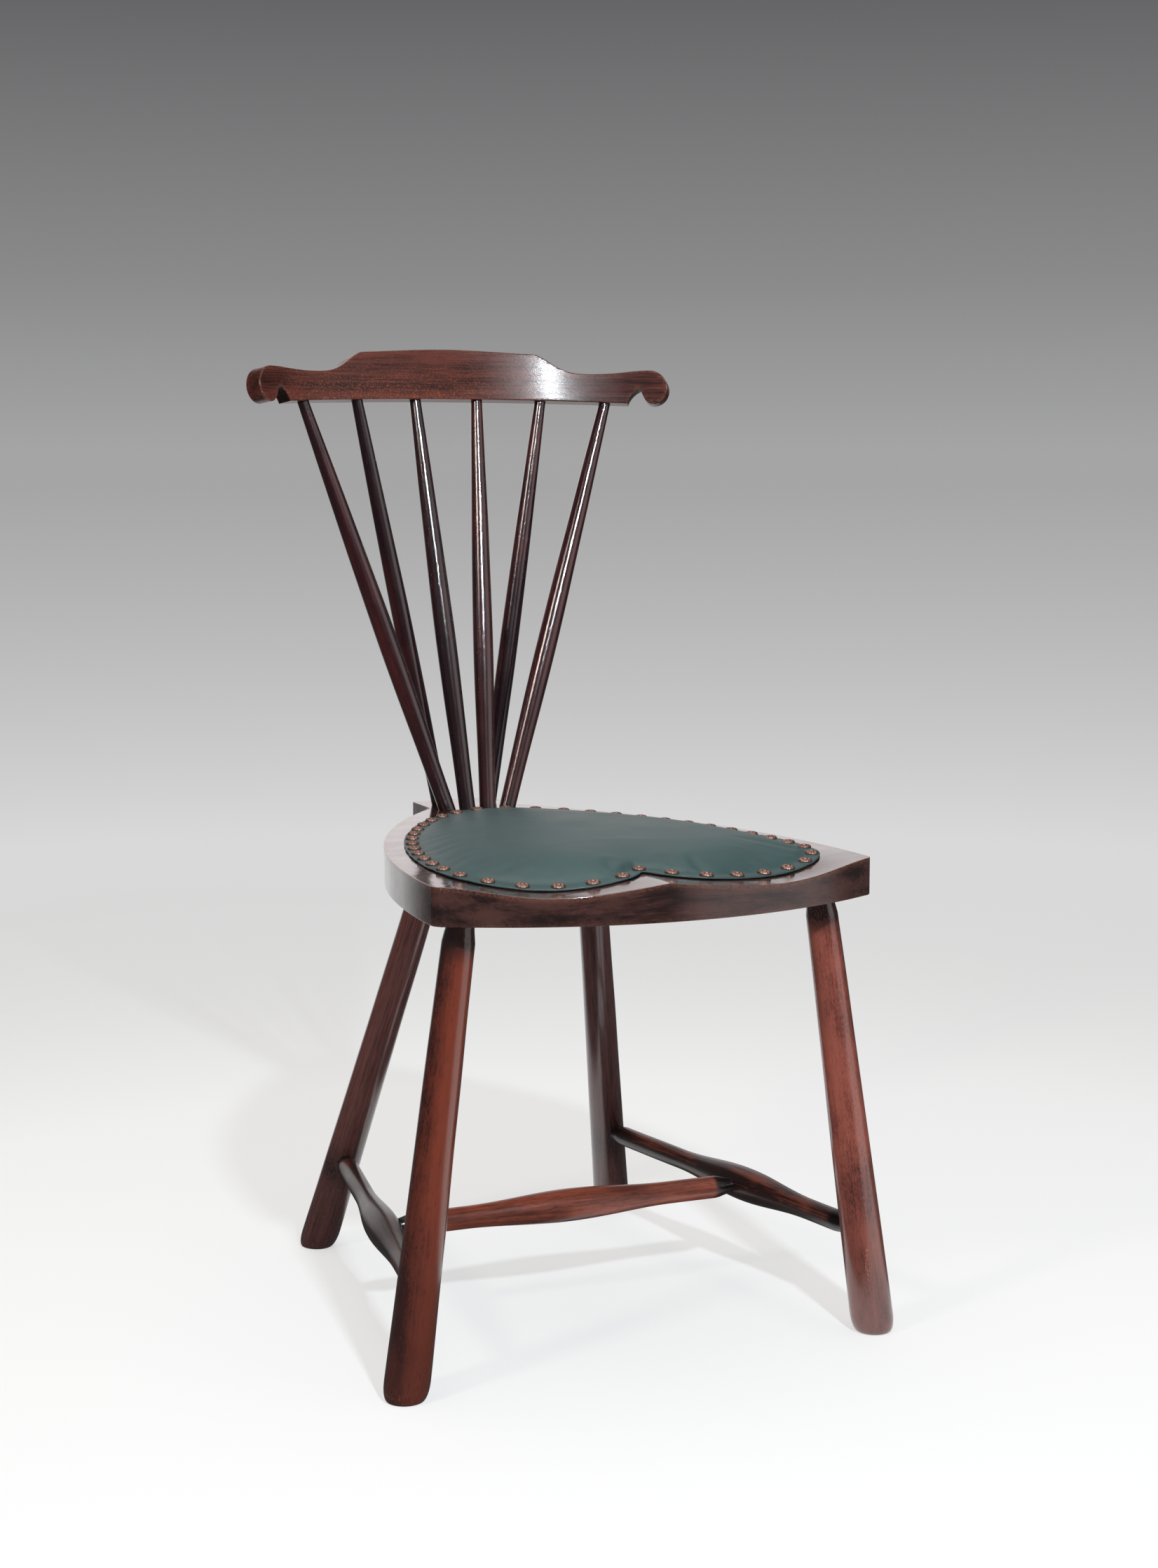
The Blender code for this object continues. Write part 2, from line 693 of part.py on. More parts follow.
def make_stick(name, foot, head, belly_diameter):
    lower, upper = stick_tenons(foot, head)
    visible = (head - foot).length
    foot_radius = STICK_FOOT_DIAMETER / 2
    tip_radius = STICK_TIP_DIAMETER / 2
    belly = belly_diameter / 2
    profile = [(-(lower - foot).length, STICK_TENON_END_DIAMETER / 2)]
    for step in range(CURVE_STEPS // 2):
        share = step / (CURVE_STEPS // 2)
        swelling = math.sin(math.pi / 2 * share) ** 2
        profile.append((STICK_BELLY_HEIGHT * share, foot_radius + (belly - foot_radius) * swelling))
    for step in range(CURVE_STEPS + 1):
        share = step / CURVE_STEPS
        height = STICK_BELLY_HEIGHT + (visible - STICK_BELLY_HEIGHT) * share
        profile.append((height, belly + (tip_radius - belly) * share**STICK_TAPER_POWER))
    profile.append(((upper - foot).length, tip_radius))
    shape = turned(name, profile, STICK_STEPS)
    return add_object(name, mesh_from(name, shape), stick_wood, along(foot, head))


def seat_stick_holes():
    """A tapered socket in the seat for each stick. It widens on above the seat, where it cuts nothing."""
    holes = []
    for foot, head in stick_places().values():
        lower, _ = stick_tenons(foot, head)
        depth = foot - lower
        narrow = STICK_TENON_END_DIAMETER / 2 + JOINT_CLEARANCE
        wide = STICK_FOOT_DIAMETER / 2 + JOINT_CLEARANCE
        holes.append((lower - SOCKET_END_GAP * depth.normalized(), foot + depth, narrow, 2 * wide - narrow))
    return holes


def crest_stick_holes():
    """A straight socket in the crest rail for each stick."""
    holes = []
    for foot, head in stick_places().values():
        _, upper = stick_tenons(foot, head)
        direction = (head - foot).normalized()
        radius = STICK_TIP_DIAMETER / 2 + JOINT_CLEARANCE
        start = head - direction * 2 * STICK_HEAD_TENON_LENGTH
        holes.append((start, upper + SOCKET_END_GAP * direction, radius, radius))
    return holes


# Leather pad and nails


def pad_half(side):
    """One half of the heart, from the cleft round the lobe to the rear middle."""
    cleft = Vector((POMMEL_X, PAD_CLEFT_Y))
    lobe_x = POMMEL_X + side * PAD_LOBE_X
    lobe_angle = math.asin(lobe_x / SEAT_FRONT_RADIUS)
    lobe = Vector((lobe_x, front_edge(lobe_x) + PAD_FRONT_MARGIN / math.cos(lobe_angle)))
    lobe_direction = side * Vector((math.cos(lobe_angle), math.sin(lobe_angle)))
    flank = Vector((side * (SEAT_HALF_WIDTH - PAD_SIDE_MARGIN), PAD_SIDE_Y))
    rear = Vector((0, PAD_REAR_Y))
    reach = abs(flank.x - lobe.x)
    depth = rear.y - flank.y
    half = bezier(
        cleft,
        cleft + Vector((side * (cleft.y - lobe.y) / 2, lobe.y - cleft.y)),
        lobe - PAD_LOBE_X / 2 * lobe_direction,
        lobe,
        2 * CURVE_STEPS,
    )
    half += bezier(
        lobe,
        lobe + PAD_LOBE_FULLNESS * reach * lobe_direction,
        flank - Vector((0, (flank.y - lobe.y) / 2)),
        flank,
        2 * CURVE_STEPS,
    )
    half += bezier(
        flank,
        flank + Vector((0, depth / 2)),
        rear + Vector((PAD_REAR_FULLNESS * flank.x, 0)),
        rear,
        3 * CURVE_STEPS,
    )
    return half + [rear]


def pad_outline():
    """The leather's edge, against the clock from the cleft."""
    return pad_half(1) + list(reversed(pad_half(-1)))[1:-1]


def pad_rings():
    """Rings over the crown, from the leather's rim inwards, each with its height above the seat's top."""
    rim = inset(evenly_spaced(pad_outline(), PAD_POINTS), LEATHER_RIM)
    middle = sum(rim, Vector((0, 0))) / len(rim)
    rings = []
    for scale in PAD_RING_SCALES:
        ring = [middle + (point - middle) * scale for point in rim]
        rings.append((ring, PAD_CROWN * (1 - scale**PAD_CROWN_POWER) ** PAD_CROWN_EASE))
    return rings


def above_seat(ring, height):
    return [(point.x, point.y, seat_top(point.x, point.y) + height) for point in ring]


def make_leather():
    edge = evenly_spaced(pad_outline(), PAD_POINTS)
    rings = [(edge, 0.0), *pad_rings()]
    under = [above_seat(ring, crown + PAD_GAP) for ring, crown in rings]
    over = [above_seat(ring, crown + PAD_GAP + LEATHER_THICKNESS) for ring, crown in rings]
    shape = loft(list(reversed(under)) + over)
    return add_object("leather_cover", mesh_from("leather_cover", shape), leather)


def make_stuffing():
    rings = pad_rings()[1:]
    under = [above_seat(ring, STUFFING_GAP) for ring, crown in rings]
    over = [above_seat(ring, crown + PAD_GAP - STUFFING_GAP) for ring, crown in rings]
    shape = loft(list(reversed(under)) + over)
    return add_object("seat_stuffing", mesh_from("seat_stuffing", shape), stuffing)


def nail_places():
    """The frame of each nail: its origin on the leather, and Z out of it."""
    line = evenly_spaced(inset(pad_outline(), NAIL_INSET), NAIL_COUNT)
    frames = []
    for point in line:
        normal = seat_normal(point.x, point.y)
        seat = Vector((point.x, point.y, seat_top(point.x, point.y)))
        start = seat + normal * (PAD_GAP + LEATHER_THICKNESS)
        frames.append(along(start, start + normal))
    return frames


def make_nails():
    radius, shank = NAIL_HEAD_DIAMETER / 2, NAIL_SHANK_DIAMETER / 2
    profile = [
        (-NAIL_SHANK_LENGTH, 0),
        (-NAIL_SHANK_LENGTH + 2 * shank, shank),
        (NAIL_GAP, shank),
        (NAIL_GAP, radius),
        (NAIL_GAP + NAIL_DOME_SHARE * NAIL_HEAD_RISE, NAIL_DOME_SHARE * radius),
        (NAIL_GAP + NAIL_HEAD_RISE, 0),
    ]
    mesh = mesh_from("nail", turned("nail", profile, NAIL_STEPS))
    for number, place in enumerate(nail_places(), 1):
        add_object(f"nail_{number:02d}", mesh, nail_metal, place)


def nail_holes():
    deepest = Vector((0, 0, -NAIL_SHANK_LENGTH - NAIL_GAP))
    highest = Vector((0, 0, NAIL_HEAD_RISE))
    radius = NAIL_SHANK_DIAMETER / 2 + JOINT_CLEARANCE
    return [(place @ deepest, place @ highest, radius, radius) for place in nail_places()]


# The chair

clear_scene()
parts = new_collection("fan_back_chair")
cutters = new_collection("cutters")
origin = bpy.data.objects.new("chair_origin", None)
origin.location = (0, -CHAIR_DEPTH / 2, 0)
parts.objects.link(origin)

seat_wood = new_material("seat_wood", (0.075, 0.030, 0.022), 0.25)
crest_wood = new_material("crest_wood", (0.060, 0.020, 0.012), 0.28)
stick_wood = new_material("stick_wood", (0.030, 0.010, 0.010), 0.20)
leg_wood = new_material("leg_wood", (0.090, 0.024, 0.014), 0.30)
stretcher_wood = new_material("stretcher_wood", (0.070, 0.020, 0.013), 0.35)
leather = new_material("green_leather", (0.055, 0.085, 0.085), 0.45)
stuffing = new_material("horsehair", (0.10, 0.08, 0.06), 0.95)
nail_metal = new_material("nail_metal", (0.30, 0.17, 0.11), 0.40, 1.0)

seat = make_seat()
leather_cover = make_leather()
make_stuffing()
make_nails()
crest_rail = make_crest_rail()
for stick_name, (foot_place, head_place) in stick_places().items():
    is_brace = stick_name.startswith("brace")
    belly_size = BRACE_BELLY_DIAMETER if is_brace else STICK_BELLY_DIAMETER
    make_stick(stick_name, foot_place, head_place, belly_size)
make_centre_stretcher()

for side_word, side_sign in SIDES.items():
    front_end, rear_end = side_stretcher_axis(side_sign)
    for row_word, foot_size, stretcher in (
        ("front", FRONT_FOOT_DIAMETER, (front_end, rear_end)),
        ("rear", REAR_FOOT_DIAMETER, (rear_end, front_end)),
    ):
        leg = make_leg(row_word, side_word, foot_size)
        socket = end_socket(stretcher, SIDE_STRETCHER_TENON_DIAMETER, foot_size)
        cut(leg, drill(f"{leg.name}_socket", [socket]))
    side_stretcher = make_side_stretcher(side_word)
    centre_axis = centre_stretcher_axis()
    if side_sign > 0:
        centre_axis = tuple(reversed(centre_axis))
    socket = end_socket(centre_axis, CENTRE_STRETCHER_TENON_DIAMETER, SIDE_STRETCHER_MIDDLE_DIAMETER)
    cut(side_stretcher, drill(f"{side_stretcher.name}_socket", [socket]))

cut(crest_rail, drill("crest_sockets", crest_stick_holes()))
cut(seat, drill("seat_sockets", leg_holes() + seat_stick_holes()))
shank_holes = drill("shank_holes", nail_holes(), NAIL_HOLE_SIDES)
cut(seat, shank_holes)
cut(leather_cover, shank_holes)
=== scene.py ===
"""The looks of a fan back chair: polished wood, a nailed leather pad and a pale studio, over its frame.

Metres, +Z up. The chair faces -Y. Pieces are modelled with Y measured from the middle of the seat's
front edge, and moved into the frame last.
"""

import math

import bmesh
import bpy
from mathutils import Matrix, Vector, noise
from mathutils.kdtree import KDTree


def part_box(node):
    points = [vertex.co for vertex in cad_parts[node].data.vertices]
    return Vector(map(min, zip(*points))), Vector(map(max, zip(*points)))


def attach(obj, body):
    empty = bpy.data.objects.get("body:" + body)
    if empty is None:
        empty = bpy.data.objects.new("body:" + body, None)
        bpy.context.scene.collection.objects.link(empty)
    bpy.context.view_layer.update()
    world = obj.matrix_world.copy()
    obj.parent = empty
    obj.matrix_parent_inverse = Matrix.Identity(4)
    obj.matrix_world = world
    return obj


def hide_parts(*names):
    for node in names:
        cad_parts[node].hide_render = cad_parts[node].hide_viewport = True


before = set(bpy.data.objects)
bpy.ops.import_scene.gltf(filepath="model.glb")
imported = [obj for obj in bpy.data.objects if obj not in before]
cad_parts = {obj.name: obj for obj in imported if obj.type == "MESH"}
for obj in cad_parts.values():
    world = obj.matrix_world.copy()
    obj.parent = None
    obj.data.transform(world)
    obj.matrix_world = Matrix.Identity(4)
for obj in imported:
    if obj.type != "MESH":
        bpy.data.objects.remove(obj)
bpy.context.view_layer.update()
SEAT_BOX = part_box("seat")
FRONT_Y = SEAT_BOX[0].y

bl_info = {
    "name": "Fan back chair",
    "version": (1, 0, 0),
    "blender": (4, 5, 0),
    "location": "3D View > Sidebar > Chair",
    "description": "Dresses the frame of a fan back chair in wood, leather and nails",
    "category": "Object",
}

WELD_DISTANCE = 0.00001
ROUND_PROFILE = 0.5
FLAT_NORMAL = 0.99
SMOOTH_ANGLE = math.radians(40)
SIDES = {"left": -1, "right": 1}
GOLDEN_ANGLE = math.pi * (3 - math.sqrt(5))
WOBBLE_WAVES = Vector((60, 60, 14))
SLOPE_REACH = 0.002
NOTCH_HANDLE = 0.3
PAD_STEPS = 24
CROWN_POINTS = 360
LEAST_TURN = 1e-9
MIX_COLOURS = (6, 7)


# Settings


def real(name, description, default, **options):
    return bpy.props.FloatProperty(name=name, description=description, default=default, **options)


def length(name, description, default):
    return real(name, description, default, unit="LENGTH")


def angle(name, description, degrees):
    return real(name, description, math.radians(degrees), subtype="ANGLE")


def share(name, description, default):
    return real(name, description, default, min=0)


def power(name, description, default):
    return real(name, description, default, unit="POWER")


def whole(name, description, default):
    return bpy.props.IntProperty(name=name, description=description, default=default, min=3)


def colour(name, description, default):
    values = {"name": name, "description": description, "default": default}
    return bpy.props.FloatVectorProperty(**values, size=3, min=0, max=1, subtype="COLOR")


def grey(name, description, level):
    return colour(name, description, (level, level, level))


class SeatSettings(bpy.types.PropertyGroup):
    """The seat board and its saddle"""

    height: length("Height", "Floor to the rim of the seat", SEAT_BOX[1].z)
    thickness: length("Thickness", "Thickness of the board", 0.033)
    front_width: length("Front width", "Width across the front corners", 0.410)
    corner_setback: length("Corner setback", "How far the front corners lie behind the middle", 0.058)
    corner_radius: length("Corner radius", "Rounding of the front corners", 0.009)
    edge_radius: length("Edge radius", "Rounding of the upper and lower edges", 0.0025)
    side_fullness_front: length("Front fullness", "Reach of the side curve at the front corner", 0.180)
    side_fullness_rear: length("Rear fullness", "Reach of the side curve at the neck", 0.150)
    neck_angle: angle("Neck angle", "Direction of the side curve at the neck", 41)
    neck_distance: length("Neck distance", "Front edge to the neck", 0.509)
    tail_width: length("Tail width", "Width of the square tail", 0.087)
    tail_length: length("Tail length", "Length of the square tail", 0.055)
    tail_radius: length("Tail radius", "Rounding of the tail's corners", 0.005)
    saddle_depth: length("Saddle depth", "Depth of the two hollows at the front edge", 0.009)
    saddle_reach: length("Saddle reach", "How far back the hollows run out", 0.090)
    pommel_shift: length("Pommel shift", "How far the pommel lies left of the middle", 0.018)


class CrestSettings(bpy.types.PropertyGroup):
    """The bent rail at the top of the back"""

    height: length("Height", "Floor to the middle of the lower edge", 0.8443)
    setback: length("Setback", "Seat front to the rail's middle layer", 0.5745)
    radius: length("Bend radius", "Radius that the rail is bent to", 0.400)
    lean: angle("Lean", "Backward lean of the rail's face", 10.8)
    thickness: length("Thickness", "Thickness of the rail", 0.018)
    edge_radius: length("Edge radius", "Rounding of its edges", 0.0020)
    middle_rise: length("Middle rise", "Height of the rail at its middle", 0.0495)
    shoulder_run: length("Shoulder", "Middle to the end of the raised top", 0.093)
    shoulder_rise: length("Shoulder rise", "Height of the rail at its shoulder", 0.0458)
    step_run: length("Step", "Middle to the steepest place below the shoulder", 0.119)
    step_rise: length("Step rise", "Height of the rail at that step", 0.0325)
    dip_run: length("Dip", "Middle to the lowest place before an ear", 0.152)
    dip_rise: length("Dip rise", "Height of the rail at its dip", 0.026)
    ear_length: length("Ear length", "Middle to the centre of an ear, along the rail", 0.2145)
    ear_rise: length("Ear rise", "Lower edge to the centre of an ear", 0.0128)
    ear_radius: length("Ear radius", "Radius of an ear", 0.0170)
    notch_reach: length("Notch reach", "How far the notch bites in beside the ear", 0.011)
    notch_radius: length("Notch size", "Width and height of the notch's cove", 0.0148)
    notch_hollow: share("Notch hollow", "How far the notch's cove bows, as a share of its size", 0.14)
    notch_drop: length("Notch drop", "How far the notch's point lies below the ear's centre", 0.0017)


class StickSettings(bpy.types.PropertyGroup):
    """The six sticks of the back"""

    row_y: length("Row", "Front edge to the row of four sticks", 0.490)
    foot_pitch: length("Foot pitch", "Distance between the feet of the four", 0.0214)
    brace_row_y: length("Brace row", "Front edge to the two bracing sticks", 0.528)
    brace_spread: length("Brace spread", "Distance between the bracing sticks' feet", 0.052)
    head_pitch: length("Head pitch", "Distance between the heads under the rail", 0.066)
    foot_diameter: length("Foot", "Diameter at the seat", 0.0162)
    belly_diameter: length("Belly", "Largest diameter", 0.0203)
    brace_diameter: length("Brace belly", "Largest diameter of a bracing stick", 0.0187)
    tip_diameter: length("Tip", "Diameter at the rail", 0.0112)
    belly_height: length("Belly height", "Seat to the belly", 0.170)
    taper_power: share("Taper", "How late the stick narrows above its belly", 1.4)
    wobble: length("Wobble", "Unevenness left by the shave", 0.00022)


class LegSettings(bpy.types.PropertyGroup):
    """The four turned legs"""

    front_inset: length("Front inset", "Seat corner to a front leg's top, sideways", 0.0357)
    front_top_y: length("Front top", "Front edge to a front leg's top", 0.0884)
    front_splay_x: length("Front splay", "How far a front foot stands out", 0.0562)
    front_splay_y: length("Front rake", "How far a front foot stands forward", 0.0094)
    front_diameter: length("Front foot", "Diameter of a front foot", 0.0410)
    rear_inset: length("Rear inset", "Seat corner to a rear leg's top, sideways", 0.1242)
    rear_top_y: length("Rear top", "Front edge to a rear leg's top", 0.3947)
    rear_splay_x: length("Rear splay", "How far a rear foot stands out", 0.0820)
    rear_splay_y: length("Rear rake", "How far a rear foot stands back", 0.1288)
    rear_diameter: length("Rear foot", "Diameter of a rear foot", 0.0375)
    top_diameter: length("Top", "Diameter under the necking", 0.0285)
    neck_length: length("Necking", "Seat to a leg's shoulder", 0.0185)
    neck_taper: length("Neck taper", "Height of the cone above the shoulder", 0.012)
    neck_diameter: length("Neck", "Diameter where a leg enters the seat", 0.0245)
    foot_inset: length("Foot inset", "How far the sole's edge is rounded in", 0.0055)
    foot_rise: length("Foot rise", "How high the rounding of the foot reaches", 0.017)
    wobble: length("Wobble", "Unevenness left by the turning and by wear", 0.0003)


class StretcherSettings(bpy.types.PropertyGroup):
    """The H between the legs"""

    height: length("Height", "Floor to the stretchers' axes", 0.095)
    side_end: length("Side ends", "Diameter of a side stretcher near the legs", 0.0195)
    side_middle: length("Side middle", "Diameter of a side stretcher's swelling", 0.0315)
    side_tenon: length("Side tenon", "Diameter of a side stretcher's tenon", 0.0155)
    centre_y: length("Centre", "Front edge to the centre stretcher", 0.258)
    centre_end: length("Centre ends", "Diameter of the centre stretcher's ends", 0.0210)
    centre_middle: length("Centre middle", "Diameter of the centre stretcher's swelling", 0.0305)
    centre_tenon: length("Centre tenon", "Diameter of the centre stretcher's tenon", 0.0138)
    swell_length: length("Swelling", "Length of a swelling", 0.210)
    tip_length: length("Tip", "Length over which an end narrows", 0.014)
    wobble: length("Wobble", "Unevenness left by the turning", 0.0003)


class PadSettings(bpy.types.PropertyGroup):
    """The heart shaped leather pad"""

    front_margin: length("Front margin", "Seat edge to the leather at the front", 0.022)
    side_margin: length("Side margin", "Seat edge to the leather at the widest place", 0.0265)
    cleft_y: length("Cleft", "Front edge to the cleft of the heart", 0.055)
    lobe_x: length("Lobe", "Cleft to the foremost place of a lobe", 0.080)
    side_y: length("Flank", "Front edge to the widest place", 0.125)
    rear_y: length("Rear", "Front edge to the rear end", 0.473)
    lobe_fullness: share("Lobe fullness", "Roundness of a lobe", 0.7)
    rear_fullness: share("Rear fullness", "Roundness of the rear end", 0.4)
    crown: length("Crown", "Height of the stuffing at the middle", 0.015)
    crown_power: share("Crown shape", "How flat the middle of the crown is", 4)
    crown_ease: share("Crown ease", "How steeply the crown rises from the nails", 0.5)
    rear_drop: share("Rear drop", "How much lower the crown is at its rear end", 0.35)
    drop_y: length("Drop", "Front edge to where the crown starts to fall", 0.20)
    leather: length("Leather", "Thickness of the leather", 0.0018)
    rim: length("Rim", "Flat border outside the stuffing", 0.015)
    gap: length("Gap", "Air between the pad and the seat", 0.0004)
    cell: length("Cell", "Size of a cell of the leather's mesh", 0.004)
    fill: share("Fill", "How tightly the pad is stuffed", 0.7)
    slack: share("Slack", "Share of the crown before the stuffing pushes", 0.82)
    cap: length("Cap", "How far the stuffing may push the leather", 0.0025)
    puff: length("Puff", "How far the leather may rise between the nails", 0.0016)
    ripple: length("Ripple", "Unevenness of the cut edge", 0.0012)


class NailSettings(bpy.types.PropertyGroup):
    """The nails round the leather"""

    count: whole("Count", "Number of nails", 42)
    inset: length("Inset", "Leather's edge to the row of nails", 0.008)
    diameter: length("Diameter", "Diameter of a head", 0.0124)
    rise: length("Rise", "Height of a head", 0.0032)
    petals: whole("Petals", "Petals pressed in a head", 12)


class FinishSettings(bpy.types.PropertyGroup):
    """The colours of the chair"""

    seat_dark: colour("Seat, dark", "Dark tone of the seat's wood", (0.012, 0.006, 0.006))
    seat_warm: colour("Seat, warm", "Warm tone of the seat's wood", (0.055, 0.021, 0.017))
    crest_dark: colour("Crest, dark", "Dark tone of the crest rail", (0.016, 0.006, 0.005))
    crest_warm: colour("Crest, warm", "Warm tone of the crest rail", (0.100, 0.025, 0.018))
    stick_dark: colour("Sticks, dark", "Dark tone of the sticks", (0.010, 0.003, 0.005))
    stick_warm: colour("Sticks, warm", "Warm tone of the sticks", (0.056, 0.008, 0.008))
    leg_dark: colour("Legs, dark", "Dark tone of the legs", (0.026, 0.005, 0.004))
    front_leg_left: colour("Front left leg", "Warm tone of this leg", (0.140, 0.024, 0.010))
    # This leg's warm tone is its wood colour, made lighter by a painted sheen: the haze of a reflection along
    # it.
    front_leg_right: colour("Front right leg", "Warm tone of this leg", (0.245, 0.060, 0.040))
    rear_leg_left: colour("Rear left leg", "Warm tone of this leg", (0.135, 0.046, 0.040))
    rear_leg_right: colour("Rear right leg", "Warm tone of this leg", (0.110, 0.038, 0.036))
    stretcher_dark: colour("Stretchers, dark", "Dark tone of the stretchers", (0.016, 0.006, 0.005))
    stretcher_warm: colour("Stretchers, warm", "Warm tone of the stretchers", (0.250, 0.058, 0.031))
    fleck: colour("Flecks", "Rays of the wood", (0.420, 0.110, 0.045))
    rubbed: colour("Rubbed edges", "Wood that shows where the polish is rubbed", (0.260, 0.095, 0.060))
    # This dark colour serves real grime at the joints and also painted shade in the crest's notch, under the
    # leather's edge and in the nails' hollows.
    grime: colour("Grime", "Dark polish in the corners", (0.006, 0.003, 0.003))
    leather: colour("Leather", "Colour of the leather", (0.025, 0.064, 0.066))
    nail: colour("Nails", "Colour of the nail heads", (0.520, 0.310, 0.260))


class StageSettings(bpy.types.PropertyGroup):
    """The studio and the camera"""

    camera_turn: angle("Camera turn", "Turn of the camera about the chair", -23.24)
    camera_rise: angle("Camera rise", "Height of the camera as an angle", 7.25)
    camera_distance: length("Camera distance", "Camera to the chair's middle", 2.422)
    camera_aim: length("Aim height", "Height of the camera's aim", 0.487)
    camera_aside: length("Aim aside", "How far the aim lies right of the chair's middle", 0.025)
    lens: real("Lens", "Focal length", 59.85, unit="CAMERA")
    floor: grey("Floor", "Colour of the floor under the lamps", 0.88)
    paper: grey("Paper", "Tone of the floor round the chair", 0.965)
    near_ground: grey("Near ground", "Tone of the ground just behind the chair", 0.955)
    middle_ground: grey("Middle ground", "Tone of the ground further back", 0.695)
    horizon: grey("Horizon", "Tone where the ground ends", 0.376)
    low_sky: colour("Low backdrop", "Tone of the backdrop above the horizon", (0.254, 0.254, 0.258))
    sky: colour("Backdrop", "Tone of the backdrop at the top of the view", (0.130, 0.130, 0.134))
    floor_glow: share("Floor glow", "Share of the floor's tone that a shadow can't darken", 0.62)
    ambient: share("Ambient", "Strength of the light from all round", 0.30)
    mirrored_front: share("Front of the room", "What polish mirrors of the room before the chair", 0.08)
    mirrored_rear: share("Rear of the room", "What polish mirrors of the room behind the chair", 1.0)
    mirrored_right: share("Right of the room", "What polish mirrors of the room right of the chair", 1.0)
    mirrored_tone: colour("Room", "Colour of the room that polish mirrors", (1.0, 0.93, 0.93))
    top: power("Top", "Power of the soft lamp above the chair", 23)
    key: power("Key", "Power of the key lamp", 74)
    fill: power("Fill", "Power of the fill lamp", 21)
    key_tone: colour("Key tone", "Colour of the key lamp", (0.88, 0.95, 1.0))
    soft_tone: colour("Soft tone", "Colour of the other lamps", (1.0, 0.93, 0.84))


SETTINGS = {
    "seat": SeatSettings,
    "crest": CrestSettings,
    "sticks": StickSettings,
    "legs": LegSettings,
    "stretchers": StretcherSettings,
    "pad": PadSettings,
    "nails": NailSettings,
    "finish": FinishSettings,
    "stage": StageSettings,
}


def settings(name):
    return getattr(bpy.context.scene, f"fan_chair_{name}")


# Modelling tools


def clamp(value):
    return min(max(value, 0.0), 1.0)


def patch(distance, width):
    """1 in the middle half of this width, less towards its edges and 0 beyond them."""
    return clamp(2 - 4 * distance / width)


def along(start, end):
    """The frame at start whose Z axis points to end."""
    direction = Vector(end) - Vector(start)
    return Matrix.Translation(start) @ direction.to_track_quat("Z", "Y").to_matrix().to_4x4()


def only(kind, items):
    """The vertices or the edges among some geometry."""
    return [item for item in items if isinstance(item, kind)]


def spun(profile, steps):
    """A bmesh turned about Z from (distance along Z, radius) pairs, closed to the axis at both ends."""
    shape = bmesh.new()
    profile = [(profile[0][0], 0.0), *profile, (profile[-1][0], 0.0)]
    line = [shape.verts.new((radius, 0, height)) for height, radius in profile]
    edges = [shape.edges.new(pair) for pair in zip(line, line[1:])]
    turn = {"cent": (0, 0, 0), "axis": (0, 0, 1), "angle": math.tau, "steps": steps, "use_merge": True}
    bmesh.ops.spin(shape, geom=line + edges, **turn)
    bmesh.ops.remove_doubles(shape, verts=shape.verts, dist=WELD_DISTANCE)
    bmesh.ops.recalc_face_normals(shape, faces=shape.faces)
    return shape


def slab(outline, thickness):
    """A bmesh board with this outline, from Z 0 up."""
    shape = bmesh.new()
    corners = [shape.verts.new((point.x, point.y, 0)) for point in outline]
    face = shape.faces.new(corners)
    raised = bmesh.ops.extrude_face_region(shape, geom=[face])
    upper = only(bmesh.types.BMVert, raised["geom"])
    bmesh.ops.translate(shape, verts=upper, vec=(0, 0, thickness))
    bmesh.ops.recalc_face_normals(shape, faces=shape.faces)
    return shape


def round_edges(shape, edges, radius, segments):
    size = {"offset": radius, "segments": segments, "profile": ROUND_PROFILE, "clamp_overlap": True}
    bmesh.ops.bevel(shape, geom=list(edges), affect="EDGES", material=-1, **size)


def round_corners(shape, corners, radius, segments):
    """Rounds a board's edges that stand on the outline's corners."""

    def stands_on(edge, corner):
        return all((vert.co.xy - corner).length < WELD_DISTANCE for vert in edge.verts)

    upright = [edge for edge in shape.edges if any(stands_on(edge, corner) for corner in corners)]
    round_edges(shape, upright, radius, segments)


def round_rims(shape, radius, segments):
    """Rounds the edges between a board's two faces and its wall."""
    caps = [face for face in shape.faces if abs(face.normal.z) > FLAT_NORMAL]
    round_edges(shape, {edge for face in caps for edge in face.edges}, radius, segments)


def cut(shape, place, normal, **options):
    """Cuts the whole shape by the plane through this place, and gives what lies on the cut."""
    geometry = [*shape.verts, *shape.edges, *shape.faces]
    made = bmesh.ops.bisect_plane(
        shape, geom=geometry, dist=WELD_DISTANCE, plane_co=place, plane_no=normal, **options
    )
    return made["geom_cut"]


def cut_across(shape, places, axis):
    """Cuts the whole shape by a plane at each of these places along X, Y or Z."""
    normal = Vector((axis == "X", axis == "Y", axis == "Z"))
    for place in places:
        cut(shape, normal * place, normal)


def steps_between(first, last, step):
    count = max(math.ceil((last - first) / step), 1)
    return [first + (last - first) * i / count for i in range(count + 1)]


def mark(shape, plank, along_x=False, **marks):
    """Notes at each vertex its place in the wood, whose fibres run along Z or X, and other marks by name."""
    grain_layer = shape.verts.layers.float_vector.new("grain")
    for vert in shape.verts:
        vert[grain_layer] = plank + (vert.co.yzx if along_x else vert.co)
    for name, amount in marks.items():
        layer = shape.verts.layers.float.new(name)
        for vert in shape.verts:
            vert[layer] = amount(vert.co) if callable(amount) else amount


def roughen(shape, amount, seed):
    """Moves each vertex of a turned shape in or out a little, in long slow waves."""
    for vert in shape.verts:
        outwards = Vector((vert.co.x, vert.co.y, 0))
        place = vert.co * WOBBLE_WAVES + Vector((seed, 0, 0))
        vert.co += outwards.normalized() * amount * noise.noise(place)


